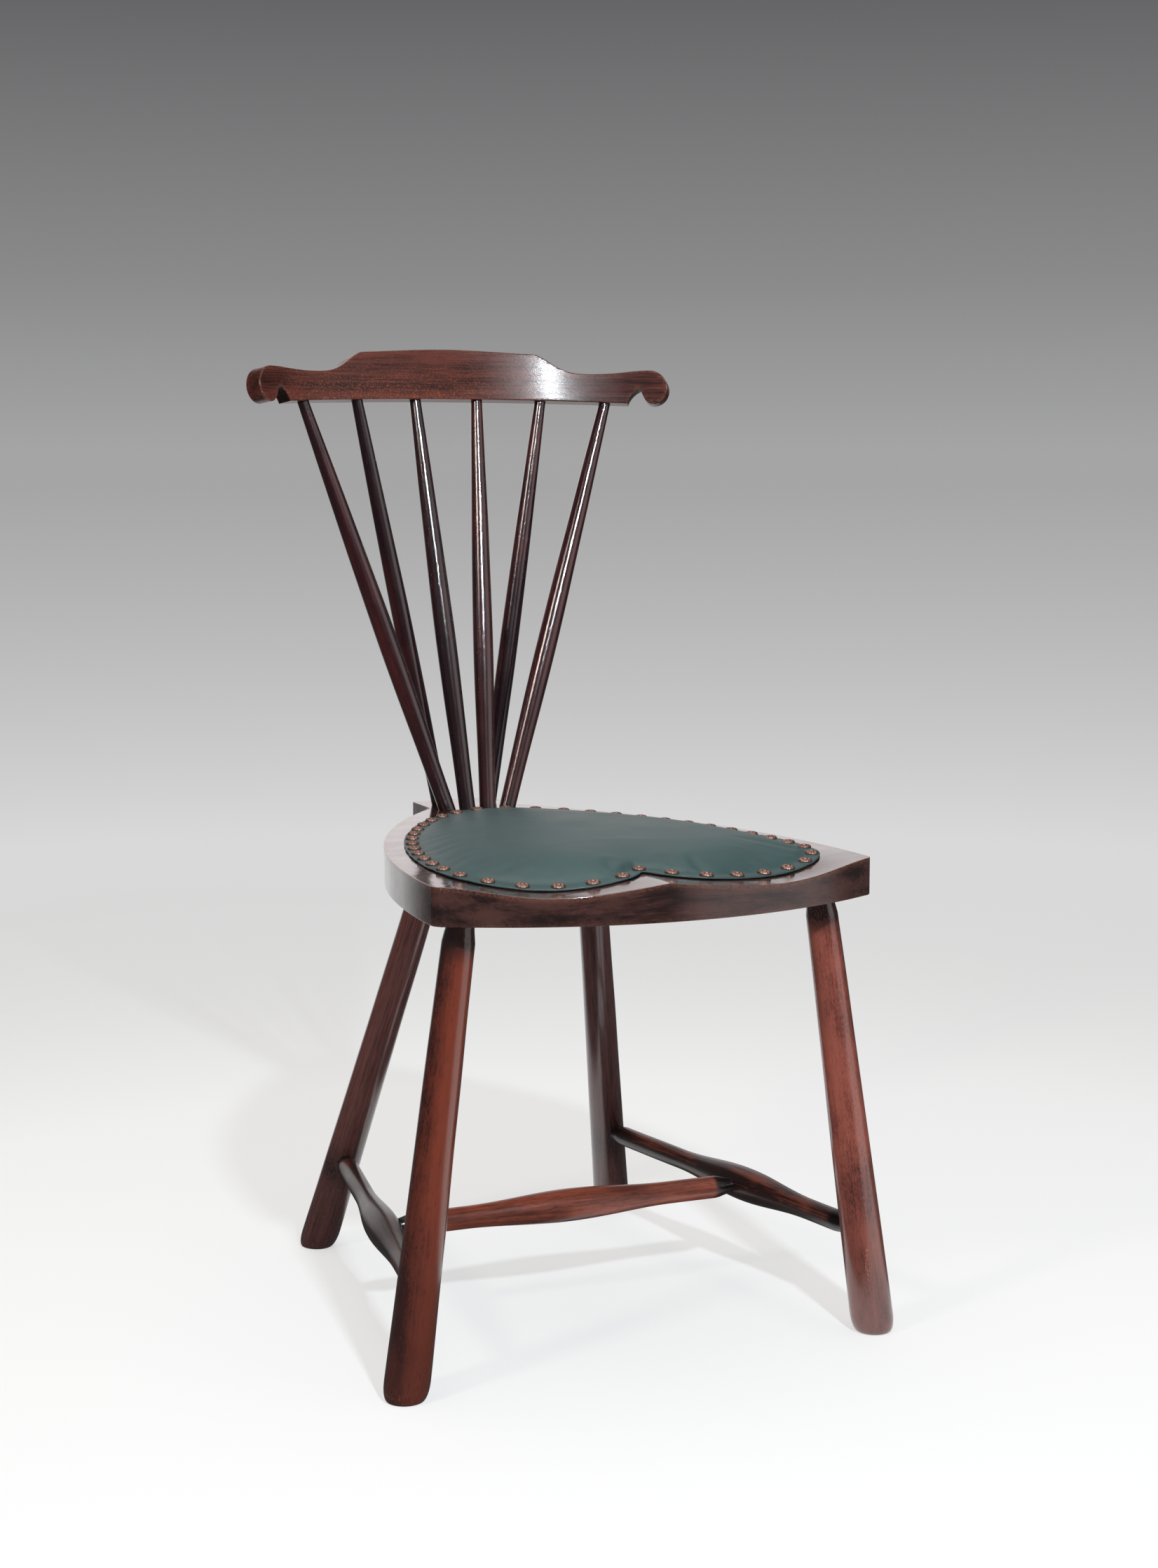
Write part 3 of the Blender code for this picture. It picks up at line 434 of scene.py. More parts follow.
def add_piece(name, shape, material, nodes):
    """Makes the shape a piece of the chair that stands for these CAD nodes."""
    bmesh.ops.remove_doubles(shape, verts=shape.verts, dist=WELD_DISTANCE)
    bmesh.ops.recalc_face_normals(shape, faces=shape.faces)
    bmesh.ops.translate(shape, verts=shape.verts, vec=(0, FRONT_Y, 0))
    mesh = bpy.data.meshes.new(name)
    shape.to_mesh(mesh)
    shape.free()
    mesh.shade_smooth()
    mesh.set_sharp_from_angle(angle=SMOOTH_ANGLE)
    mesh.materials.append(material)
    piece = bpy.data.objects.new(name, mesh)
    bpy.context.scene.collection.objects.link(piece)
    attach(piece, "root")
    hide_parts(*nodes)
    return piece


def add_turned(name, shape, placing, material, node):
    """Makes a turned shape, set on its axis, the piece that stands for one CAD node."""
    bmesh.ops.transform(shape, matrix=placing, verts=shape.verts)
    add_piece(name, shape, material, [node])


def flatten_shading(piece):
    """Shades the broad faces of a board flat up to their rounded edges."""
    weighting = piece.modifiers.new("broad faces", "WEIGHTED_NORMAL")
    weighting.keep_sharp = True


# Curves in the plane


def bezier(start, start_handle, end_handle, end, steps):
    """Points of a cubic curve, without its end."""
    points = []
    for step in range(steps):
        t = step / steps
        u = 1 - t
        points.append(start * u**3 + start_handle * 3 * u**2 * t + end_handle * 3 * u * t**2 + end * t**3)
    return points


def arc(centre, radius, first, last, steps):
    """Points of an arc from the first angle to the last, without its end."""
    angles = [first + (last - first) * step / steps for step in range(steps)]
    return [Vector(centre) + radius * Vector((math.cos(turn), math.sin(turn))) for turn in angles]


def mirrored(half):
    """A closed outline from the half at +X, whose two ends lie on the middle line."""
    return half + [Vector((-point.x, point.y)) for point in reversed(half[1:-1])]


def evenly_spaced(outline, count):
    """This many points at equal distances along a closed outline, from its first point on."""
    closed = [*outline, outline[0]]
    lengths = [(b - a).length for a, b in zip(closed, closed[1:])]
    step = sum(lengths) / count
    points = []
    piece = 0
    passed = 0.0
    for index in range(count):
        while passed + lengths[piece] < index * step:
            passed += lengths[piece]
            piece += 1
        part = (index * step - passed) / lengths[piece]
        points.append(closed[piece].lerp(closed[piece + 1], part))
    return points


def inset(outline, distance):
    """The outline moved inwards. It runs against the clock."""
    moved = []
    for i, point in enumerate(outline):
        before = (point - outline[i - 1]).normalized()
        after = (outline[(i + 1) % len(outline)] - point).normalized()
        direction = (before + after).normalized()
        moved.append(point + distance * Vector((-direction.y, direction.x)))
    return moved


def distance_to(points):
    """A function that gives the distance from a place in the plane to the nearest of these points."""
    tree = KDTree(len(points))
    for index, point in enumerate(points):
        tree.insert((point.x, point.y, 0), index)
    tree.balance()

    def distance(place):
        return tree.find((place.x, place.y, 0))[2]

    return distance


# Materials


def add_node(tree, kind, options=None, inputs=None):
    """A node with these options and inputs. An input that is a socket is linked."""
    node = tree.nodes.new(kind)
    for name, value in (options or {}).items():
        setattr(node, name, value)
    for name, value in (inputs or {}).items():
        if isinstance(value, bpy.types.NodeSocket):
            tree.links.new(value, node.inputs[name])
        else:
            node.inputs[name].default_value = value
    return node


def vector_maths(tree, operation, first, second=None):
    inputs = {0: first} if second is None else {0: first, 1: second}
    return add_node(tree, "ShaderNodeVectorMath", {"operation": operation}, inputs).outputs


def new_material(name, colour_value):
    material = bpy.data.materials.new(name)
    material.use_nodes = True
    material.diffuse_color = (*colour_value, 1)
    return material, material.node_tree, material.node_tree.nodes["Principled BSDF"]


def attribute(tree, name, output):
    return add_node(tree, "ShaderNodeAttribute", {"attribute_name": name}).outputs[output]


def clouds(tree, place, scale, detail, roughness, turn=(0, 0, 0)):
    """A noise whose cells measure one over this scale along each axis."""
    turned = add_node(tree, "ShaderNodeMapping", None, {"Vector": place, "Rotation": turn})
    mapped = add_node(tree, "ShaderNodeMapping", None, {"Vector": turned.outputs[0], "Scale": scale})
    inputs = {"Vector": mapped.outputs[0], "Scale": 1.0, "Detail": detail, "Roughness": roughness}
    return add_node(tree, "ShaderNodeTexNoise", None, inputs).outputs[0]


def ramp(tree, value, low, high, to_low=0.0, to_high=1.0):
    """The value from low to high, made to run smoothly between two others."""
    inputs = {"Value": value, "From Min": low, "From Max": high, "To Min": to_low, "To Max": to_high}
    return add_node(tree, "ShaderNodeMapRange", {"interpolation_type": "SMOOTHSTEP"}, inputs).outputs[0]


def maths(tree, operation, first, second):
    return add_node(tree, "ShaderNodeMath", {"operation": operation}, {0: first, 1: second}).outputs[0]


def mix(tree, factor, first, second):
    """A colour between two others."""
    inputs = {0: factor}
    for socket, tone in zip(MIX_COLOURS, (first, second)):
        inputs[socket] = tone if isinstance(tone, bpy.types.NodeSocket) else (*tone, 1)
    return add_node(tree, "ShaderNodeMix", {"data_type": "RGBA"}, inputs).outputs[2]


def bump(tree, height, strength, depth, under=None):
    inputs = {"Height": height, "Strength": strength, "Distance": depth}
    if under:
        inputs["Normal"] = under
    return add_node(tree, "ShaderNodeBump", None, inputs).outputs[0]


WOOD_TEXTURES = {
    "bands": ((48, 48, 2.4), 3, 0.6),
    "fibres": ((420, 420, 9), 4, 0.65),
    "streaks": ((1100, 1100, 30), 3, 0.6),
    "mottle": ((34, 34, 16), 5, 0.6),
    "pores": ((1500, 1500, 60), 2, 0.5),
}
FLECK_SCALE = (1500, 900, 380)
FLECK_TURN = (0, math.radians(50), 0)
PORE_EDGE = (0.60, 0.72)
FLECK_EDGE = (0.57, 0.68)
SPECK_DETAIL = (3, 0.6)
FLECK_DETAIL = (1, 0.5)
SOFT_EDGE = (0.3, 0.7)
GRIME_AND_SHADE_PATCHES = (0.25, 0.55, 0.55, 1.0)
GRIME_AND_SHADE_SPECKS = (0.35, 0.60, 0.6, 1.2)
RUBBED_DULLNESS = 0.25
WAVE_DEPTH = 0.0012
FIBRE_DEPTH = 0.0003
WOOD_LOOK = {
    "blend": (0.40, 0.20, 0.12, 0.28), "tone_low": 0.38, "tone_high": 0.62, "pores": 0.6,
    "speck_scale": (900, 900, 300), "flecks": 0.0, "rub": 1.0, "rub_low": 0.42, "rub_high": 0.62,
    "mirror": 0.3, "gloss_spread": 0.15, "coat_ior": 1.5,
    "wave_bump": 0.25, "fibre_bump": 0.25, "speck_bump": 0.25,
}


def wood_material(name, dark, warm, look):
    """Polished wood: bands, fibres, streaks, pores and flecks, grime at the joints, painted shade in the
    crest's notch, and rubbed edges.
    """
    finish = settings("finish")
    material, tree, shader = new_material(name, warm)
    grain = attribute(tree, "grain", "Vector")
    marks = ("tint", "wear", "grime", "flecks")
    tint, wear, grime, flecked = (attribute(tree, mark_name, "Fac") for mark_name in marks)

    textures = (clouds(tree, grain, *texture) for texture in WOOD_TEXTURES.values())
    bands, fibres, streaks, mottle, pores = textures
    specks = clouds(tree, grain, look["speck_scale"], *SPECK_DETAIL)
    flecks = clouds(tree, grain, FLECK_SCALE, *FLECK_DETAIL, FLECK_TURN)

    tone = 0.0
    for texture, weight in zip((bands, fibres, streaks, mottle, specks), look["blend"]):
        tone = maths(tree, "ADD", tone, maths(tree, "MULTIPLY", texture, weight))
    # The tint mark shifts the tone: a set amount for each stick and stretcher, and painted light and shade
    # round the sides of the front left leg.
    tone = maths(tree, "ADD", ramp(tree, tone, look["tone_low"], look["tone_high"]), tint)
    base = mix(tree, tone, dark, warm)
    pore_mask = maths(tree, "MULTIPLY", ramp(tree, pores, *PORE_EDGE), look["pores"])
    base = mix(tree, pore_mask, base, finish.grime)
    fleck_mask = maths(tree, "MULTIPLY", ramp(tree, flecks, *FLECK_EDGE, 0, look["flecks"]), flecked)
    base = mix(tree, fleck_mask, base, finish.fleck)
    # Dark joints of grime, and painted shade in the crest's notch, broken up by patches and specks.
    dirt_and_shade = maths(tree, "MULTIPLY", grime, ramp(tree, mottle, *GRIME_AND_SHADE_PATCHES))
    dirt_and_shade = maths(tree, "MULTIPLY", dirt_and_shade, ramp(tree, specks, *GRIME_AND_SHADE_SPECKS))
    base = mix(tree, dirt_and_shade, base, finish.grime)
    worn_specks = ramp(tree, specks, look["rub_low"], look["rub_high"], 0, look["rub"])
    rub = maths(tree, "MULTIPLY", wear, worn_specks)
    base = mix(tree, rub, base, finish.rubbed)
    tree.links.new(base, shader.inputs["Base Color"])

    polish = ramp(tree, mottle, *SOFT_EDGE, look["gloss"], look["gloss"] + look["gloss_spread"])
    dull = maths(tree, "ADD", polish, maths(tree, "MULTIPLY", rub, RUBBED_DULLNESS))
    tree.links.new(dull, shader.inputs["Roughness"])
    shader.inputs["Specular IOR Level"].default_value = look["mirror"]
    shader.inputs["Coat Weight"].default_value = look["coat"]
    shader.inputs["Coat Roughness"].default_value = look["coat_roughness"]
    shader.inputs["Coat IOR"].default_value = look["coat_ior"]

    waves = bump(tree, mottle, look["wave_bump"], WAVE_DEPTH)
    lines = bump(tree, fibres, look["fibre_bump"], FIBRE_DEPTH, waves)
    surface = bump(tree, specks, look["speck_bump"], FIBRE_DEPTH, lines)
    tree.links.new(surface, shader.inputs["Normal"])
    tree.links.new(surface, shader.inputs["Coat Normal"])
    return material


LEATHER_LOOK = {
    "patches": ((14, 14, 14), 4, 0.6),
    "fine": ((900, 900, 900), 3, 0.6),
    "crease_scale": 700.0,
    "darker": 0.85,
    "lighter": 1.1,
    "patch_edge": (0.25, 0.75),
    "fine_edge": (0.35, 0.75, 0.0, 0.25),
    "crease_edge": (0.0, 0.25),
    "roughness": (0.46, 0.54),
    "mirror": 0.8,
    "crease_bump": 0.12,
    "fine_bump": 0.10,
    "depth": 0.0002,
}


def leather_material():
    """Satin leather with a fine grain, and painted shade that darkens its cut edge towards the seat."""
    look = LEATHER_LOOK
    finish = settings("finish")
    material, tree, shader = new_material("green_leather", finish.leather)
    place = add_node(tree, "ShaderNodeTexCoord").outputs["Object"]
    edge = attribute(tree, "grime", "Fac")
    patches = clouds(tree, place, *look["patches"])
    fine = clouds(tree, place, *look["fine"])
    cells = {"Vector": place, "Scale": look["crease_scale"]}
    creases = add_node(tree, "ShaderNodeTexVoronoi", {"feature": "DISTANCE_TO_EDGE"}, cells).outputs[0]
    darker = tuple(look["darker"] * part for part in finish.leather)
    lighter = tuple(min(look["lighter"] * part, 1) for part in finish.leather)
    base = mix(tree, ramp(tree, patches, *look["patch_edge"]), darker, lighter)
    base = mix(tree, ramp(tree, fine, *look["fine_edge"]), base, darker)
    # Painted shade along the cut edge, darkest on the underside.
    base = mix(tree, edge, base, finish.grime)
    tree.links.new(base, shader.inputs["Base Color"])
    tree.links.new(ramp(tree, patches, *SOFT_EDGE, *look["roughness"]), shader.inputs["Roughness"])
    shader.inputs["Specular IOR Level"].default_value = look["mirror"]
    grain = bump(tree, ramp(tree, creases, *look["crease_edge"]), look["crease_bump"], look["depth"])
    surface = bump(tree, fine, look["fine_bump"], look["depth"], grain)
    tree.links.new(surface, shader.inputs["Normal"])
    return material


NAIL_LOOK = {
    "tarnish": ((260, 260, 260), 4, 0.65),
    "tarnish_edge": (0.35, 0.65),
    "dull": 0.55,
    "roughness": (0.55, 0.42),
    "tarnish_bump": 0.2,
    "depth": 0.0002,
}


def nail_material():
    """Worn copper bronze, with painted shade between the petals and under the rim."""
    look = NAIL_LOOK
    finish = settings("finish")
    material, tree, shader = new_material("nail_metal", finish.nail)
    place = add_node(tree, "ShaderNodeTexCoord").outputs["Object"]
    hollow = attribute(tree, "grime", "Fac")
    tarnish = clouds(tree, place, *look["tarnish"])
    dull = tuple(look["dull"] * part for part in finish.nail)
    base = mix(tree, ramp(tree, tarnish, *look["tarnish_edge"]), dull, finish.nail)
    # Painted shade in the head's hollows.
    base = mix(tree, hollow, base, finish.grime)
    tree.links.new(base, shader.inputs["Base Color"])
    shader.inputs["Metallic"].default_value = 1.0
    tree.links.new(ramp(tree, tarnish, *SOFT_EDGE, *look["roughness"]), shader.inputs["Roughness"])
    tree.links.new(bump(tree, tarnish, look["tarnish_bump"], look["depth"]), shader.inputs["Normal"])
    return material


# Seat


def front_radius(seat):
    half_width = seat.front_width / 2
    return (half_width**2 + seat.corner_setback**2) / (2 * seat.corner_setback)


def front_edge(seat, x):
    """How far the seat's front edge lies behind its middle at this x."""
    radius = front_radius(seat)
    return radius - math.sqrt(max(radius**2 - x**2, 0))


def seat_top(seat, x, y):
    """Height of the carved top of the seat."""
    pommel = -seat.pommel_shift
    side = math.copysign(seat.front_width / 2, x - pommel)
    across = min((x - pommel) / (side - pommel), 1)
    behind = clamp((y - front_edge(seat, x)) / seat.saddle_reach)
    hollow = max(math.sin(math.pi * across), 0) ** (1 + across)
    return seat.height - seat.saddle_depth * hollow * (1 + math.cos(math.pi * behind)) / 2


def seat_normal(seat, x, y):
    rise_x = seat_top(seat, x + SLOPE_REACH, y) - seat_top(seat, x - SLOPE_REACH, y)
    rise_y = seat_top(seat, x, y + SLOPE_REACH) - seat_top(seat, x, y - SLOPE_REACH)
    return Vector((-rise_x, -rise_y, 2 * SLOPE_REACH)).normalized()


class CHAIR_OT_seat(bpy.types.Operator):
    """Carve the seat board"""

    bl_idname = "fan_chair.seat"
    bl_label = "Seat"
    curve_steps = 36
    corner_segments = 8
    rim_segments = 4
    fine_cell = 0.005
    plain_cell = 0.02
    rim_points = 1500
    plank = Vector((3.1, 0.7, 1.9))
    worn_width = 0.005
    lower_wear = 0.5
    foot_soot = 0.8
    soot_width = 0.006
    look = {
        **WOOD_LOOK,
        "blend": (0.35, 0.25, 0.10, 0.30), "tone_low": 0.42, "tone_high": 0.58,
        "rub": 0.35, "rub_low": 0.3, "rub_high": 0.6, "gloss": 0.20, "gloss_spread": 0.14,
        "coat": 1.0, "coat_roughness": 0.06, "wave_bump": 0.12, "fibre_bump": 0.08, "speck_bump": 0.04,
    }

    def execute(self, context):
        seat = settings("seat")
        finish = settings("finish")
        sticks = settings("sticks")
        half_width = seat.front_width / 2
        radius = front_radius(seat)
        corner = Vector((half_width, seat.corner_setback))
        neck = Vector((seat.tail_width / 2, seat.neck_distance))
        tail_rear = seat.neck_distance + seat.tail_length
        tail_corner = Vector((seat.tail_width / 2, tail_rear))
        side_end = Vector((math.sin(seat.neck_angle), -math.cos(seat.neck_angle)))
        upright = -math.pi / 2
        corner_angle = math.asin(half_width / radius)
        half = arc((0, radius), radius, upright, upright + corner_angle, self.curve_steps)
        from_corner = corner + Vector((0, seat.side_fullness_front))
        to_neck = neck + seat.side_fullness_rear * side_end
        half += bezier(corner, from_corner, to_neck, neck, 2 * self.curve_steps)
        half += [neck, tail_corner, Vector((0, tail_rear))]
        outline = mirrored(half)
        shape = slab(outline, seat.thickness)
        opposite = Vector((-1, 1))
        round_corners(shape, [corner, corner * opposite], seat.corner_radius, self.corner_segments)
        round_corners(shape, [tail_corner, tail_corner * opposite], seat.tail_radius, self.corner_segments)
        round_rims(shape, seat.edge_radius, self.rim_segments)
        carved = seat.corner_setback + seat.saddle_reach
        cut_across(shape, steps_between(self.fine_cell, carved, self.fine_cell), "Y")
        cut_across(shape, steps_between(carved, tail_rear, self.plain_cell)[1:-1], "Y")
        cut_across(shape, steps_between(-half_width, half_width, self.fine_cell)[1:-1], "X")
        cut_across(shape, [self.worn_width, seat.thickness - self.worn_width], "Z")
        rim_distance = distance_to(evenly_spaced(outline, self.rim_points))
        feet = [Vector((foot.x, foot.y)) for foot, _ in stick_places().values()]
        foot_distance = distance_to(feet)
        foot_radius = sticks.foot_diameter / 2

        def wear(place):
            from_top = math.hypot(rim_distance(place), seat.thickness - place.z)
            from_bottom = math.hypot(rim_distance(place), place.z)
            upper = clamp(1 - from_top / self.worn_width)
            return max(upper, self.lower_wear * clamp(1 - from_bottom / self.worn_width))

        def grime(place):
            return self.foot_soot * clamp(1 - (foot_distance(place) - foot_radius) / self.soot_width)

        mark(shape, self.plank, along_x=True, wear=wear, grime=grime)
        for vert in shape.verts:
            lowered = seat.height - seat_top(seat, vert.co.x, vert.co.y)
            above_middle = vert.co.z > seat.thickness / 2
            vert.co.z += seat.height - seat.thickness - lowered * above_middle
        material = wood_material("seat_wood", finish.seat_dark, finish.seat_warm, self.look)
        flatten_shading(add_piece("saddle_seat", shape, material, ["seat"]))
        return {"FINISHED"}


# Crest rail


def on_crest(crest, run, depth, height):
    """A point of the bent and leaning rail: run along its curve, depth behind its middle layer."""
    turn = run / crest.radius
    lean = math.tan(crest.lean)
    y = crest.setback - crest.radius * (1 - math.cos(turn)) + lean * (height - crest.height)
    backwards = Vector((math.sin(turn), math.cos(turn), -lean * math.cos(turn))).normalized()
    return Vector((crest.radius * math.sin(turn), y, height)) + depth * backwards


def crest_lower_edge(crest, run):
    """How high the rail's lower edge lies, above its middle. It falls towards the ears."""
    corner = crest.ear_length - crest.notch_reach - crest.notch_radius
    fall = crest.notch_radius + crest.notch_drop - crest.ear_rise
    return -fall * (run / corner) ** 2


def crest_outline(crest, steps):
    """The right half of the rail laid flat, from the top middle round the ear to the lower middle."""
    shoulder = Vector((crest.shoulder_run, crest.shoulder_rise))
    step = Vector((crest.step_run, crest.step_rise))
    dip = Vector((crest.dip_run, crest.dip_rise))
    ear = Vector((crest.ear_length, crest.ear_rise))
    ear_top = ear + Vector((0, crest.ear_radius))
    ear_bottom = ear - Vector((0, crest.ear_radius))
    apex = ear - Vector((crest.notch_reach, crest.notch_drop))
    corner = apex - Vector((crest.notch_radius, crest.notch_radius))
    top = Vector((0, crest.middle_rise))
    fall = shoulder - top
    slope = step - shoulder
    level = dip - step
    rise = ear_top - dip
    curl = apex - ear_bottom
    easing = Vector((-crest.notch_radius, crest.notch_radius)) * crest.notch_hollow
    half = bezier(top, top + Vector((fall.x / 3, 0)), shoulder - fall / 3, shoulder, steps)
    half += bezier(shoulder, shoulder + Vector((slope.x / 3, fall.y / 9)), step - slope / 3, step, steps)
    half += bezier(step, step + slope / 3, dip - Vector((level.x / 2, 0)), dip, steps)
    half += bezier(dip, dip + Vector((rise.x / 2, 0)), ear_top - Vector((rise.x / 3, 0)), ear_top, steps)
    half += arc(ear, crest.ear_radius, math.pi / 2, -math.pi / 2, 2 * steps)
    curl_end = apex - Vector((-curl.y / 10, curl.y / 2))
    half += bezier(ear_bottom, ear_bottom + Vector((curl.x / 2, 0)), curl_end, apex, steps)
    cove_start = apex.lerp(corner, NOTCH_HANDLE) + easing
    half += bezier(apex, cove_start, corner.lerp(apex, NOTCH_HANDLE) + easing, corner, steps)
    count = 2 * steps
    runs = [corner.x * (1 - index / count) for index in range(count + 1)]
    return half + [Vector((run, crest_lower_edge(crest, run))) for run in runs]


class CHAIR_OT_crest(bpy.types.Operator):
    """Saw, bend and set the crest rail"""

    bl_idname = "fan_chair.crest"
    bl_label = "Crest rail"
    curve_steps = 16
    rim_segments = 3
    cell = 0.005
    rim_points = 2000
    plank = Vector((0.4, 5.2, 2.6))
    worn_width = 0.0022
    edge_wear = 0.35
    ear_wear = 0.25
    ear_reach = 0.03
    notch_shade = 0.008
    fleck_rise = 1.1
    fleck_end = 0.02
    fleck_fade = 0.10
    fleck_margin = 0.04
    look = {
        **WOOD_LOOK,
        "blend": (0.30, 0.25, 0.30, 0.15), "tone_low": 0.40, "tone_high": 0.60, "pores": 0.3,
        "flecks": 0.45, "mirror": 0.20, "gloss": 0.26, "gloss_spread": 0.08,
        "coat": 0.15, "coat_roughness": 0.14, "wave_bump": 0.15, "speck_bump": 0.14,
    }

    def execute(self, context):
        crest = settings("crest")
        finish = settings("finish")
        outline = list(reversed(mirrored(crest_outline(crest, self.curve_steps))))
        shape = slab(outline, crest.thickness)
        round_rims(shape, crest.edge_radius, self.rim_segments)
        reach = crest.ear_length + crest.ear_radius
        cut_across(shape, steps_between(-reach, reach, self.cell)[1:-1], "X")
        cut_across(shape, steps_between(-crest.ear_radius, crest.middle_rise, self.cell)[1:-1], "Y")
        cut_across(shape, [self.worn_width, crest.thickness - self.worn_width], "Z")
        rim_distance = distance_to(evenly_spaced(outline, self.rim_points))

        def wear(place):
            near_ear = clamp(1 - (crest.ear_length - abs(place.x)) / self.ear_reach)
            from_edge = math.hypot(rim_distance(place), min(place.z, crest.thickness - place.z))
            return clamp(1 - from_edge / self.worn_width) * (self.edge_wear + self.ear_wear * near_ear)

        half_notch = crest.notch_radius / 2
        notch_x = crest.ear_length - crest.notch_reach - half_notch
        notch_y = crest.ear_rise - crest.notch_drop - half_notch

        # Painted shade: darker on the notch's cove wall, inside the rail away from its two faces.
        def grime(place):
            from_face = min(place.z, crest.thickness - place.z)
            from_notch = math.hypot(abs(place.x) - notch_x, place.y - notch_y)
            return clamp(from_face / self.worn_width) * clamp(2 - from_notch / self.notch_shade)

        def flecks(place):
            low = clamp(self.fleck_rise - place.y / crest.middle_rise)
            left = clamp(1 - (place.x - self.fleck_end) / self.fleck_fade)
            return low * left * clamp((crest.ear_length - abs(place.x)) / self.fleck_margin)

        mark(shape, self.plank, along_x=True, wear=wear, grime=grime, flecks=flecks)
        middle = crest.thickness / 2
        for vert in shape.verts:
            vert.co = on_crest(crest, vert.co.x, middle - vert.co.z, crest.height + vert.co.y)
        material = wood_material("crest_wood", finish.crest_dark, finish.crest_warm, self.look)
        flatten_shading(add_piece("fan_crest", shape, material, ["crest_rail"]))
        return {"FINISHED"}


# Sticks


def stick_places():
    """Each stick's foot on the seat, and its head in the crest rail, so many pitches from the middle."""
    seat = settings("seat")
    sticks = settings("sticks")
    crest = settings("crest")
    places = {}
    for side_name, side in SIDES.items():
        feet = {
            f"stick_inner_{side_name}": (sticks.foot_pitch / 2, sticks.row_y, 0.5),
            f"brace_stick_{side_name}": (sticks.brace_spread / 2, sticks.brace_row_y, 1.5),
            f"stick_outer_{side_name}": (3 * sticks.foot_pitch / 2, sticks.row_y, 2.5),
        }
        for name, (x, y, pitches) in feet.items():
            run = side * pitches * sticks.head_pitch
            head = on_crest(crest, run, 0, crest.height + crest_lower_edge(crest, run))
            places[name] = (Vector((side * x, y, seat.height)), head)
    return places


class CHAIR_OT_sticks(bpy.types.Operator):
    """Shave the six sticks"""

    bl_idname = "fan_chair.sticks"
    bl_label = "Sticks"
    tints = {
        "stick_outer_left": 0.1,
        "brace_stick_left": -0.1,
        "stick_inner_left": -0.1,
        "stick_inner_right": 0.1,
        "brace_stick_right": -0.1,
        "stick_outer_right": 0.2,
    }
    steps = 40
    ring = 0.008
    sunk = 0.006
    wobble_seed = 7.3
    plank_step = Vector((0.31, 0.17, 0.9))
    end_soot = 0.7
    soot_width = 0.012
    look = {
        **WOOD_LOOK,
        "tone_low": 0.44, "tone_high": 0.66, "mirror": 0.2, "gloss": 0.20, "gloss_spread": 0.12,
        "coat": 1.0, "coat_roughness": 0.07, "coat_ior": 1.65, "speck_scale": (1600, 1600, 1100),
        "wave_bump": 0.02, "fibre_bump": 0.06, "speck_bump": 0.28,
    }

    def radius_at(self, sticks, visible, belly_diameter, height):
        foot = sticks.foot_diameter / 2
        belly = belly_diameter / 2
        tip = sticks.tip_diameter / 2
        if height < sticks.belly_height:
            swelling = math.sin(math.pi / 2 * max(height, 0) / sticks.belly_height) ** 2
            return foot + (belly - foot) * swelling
        part = clamp((height - sticks.belly_height) / (visible - sticks.belly_height))
        return belly + (tip - belly) * part**sticks.taper_power

    def execute(self, context):
        sticks = settings("sticks")
        finish = settings("finish")
        material = wood_material("stick_wood", finish.stick_dark, finish.stick_warm, self.look)
        for number, (name, (foot, head)) in enumerate(stick_places().items()):
            belly = sticks.brace_diameter if name.startswith("brace") else sticks.belly_diameter
            visible = (head - foot).length
            heights = steps_between(-self.sunk, visible + self.sunk, self.ring)
            profile = [(height, self.radius_at(sticks, visible, belly, height)) for height in heights]
            shape = spun(profile, self.steps)
            roughen(shape, sticks.wobble, self.wobble_seed * number)

            def grime(place):
                near_end = min(place.z, visible - place.z)
                return self.end_soot * clamp(1 - near_end / self.soot_width)

            mark(shape, number * self.plank_step, tint=self.tints[name], grime=grime)
            add_turned(f"shaved_{name}", shape, along(foot, head), material, name)
        return {"FINISHED"}


# Legs


def leg_axis(row, side):
    """Where a leg's axis meets the floor and the underside of the seat."""
    seat = settings("seat")
    legs = settings("legs")
    inset_x, top_y, splay_x, splay_y = {
        "front": (legs.front_inset, legs.front_top_y, legs.front_splay_x, -legs.front_splay_y),
        "rear": (legs.rear_inset, legs.rear_top_y, legs.rear_splay_x, legs.rear_splay_y),
    }[row]
    top_x = seat.front_width / 2 - inset_x
    foot = Vector((side * (top_x + splay_x), top_y + splay_y, 0))
    return foot, Vector((side * top_x, top_y, seat.height - seat.thickness))


def on_axis(axis, height):
    start, end = axis
    return start.lerp(end, (height - start.z) / (end.z - start.z))


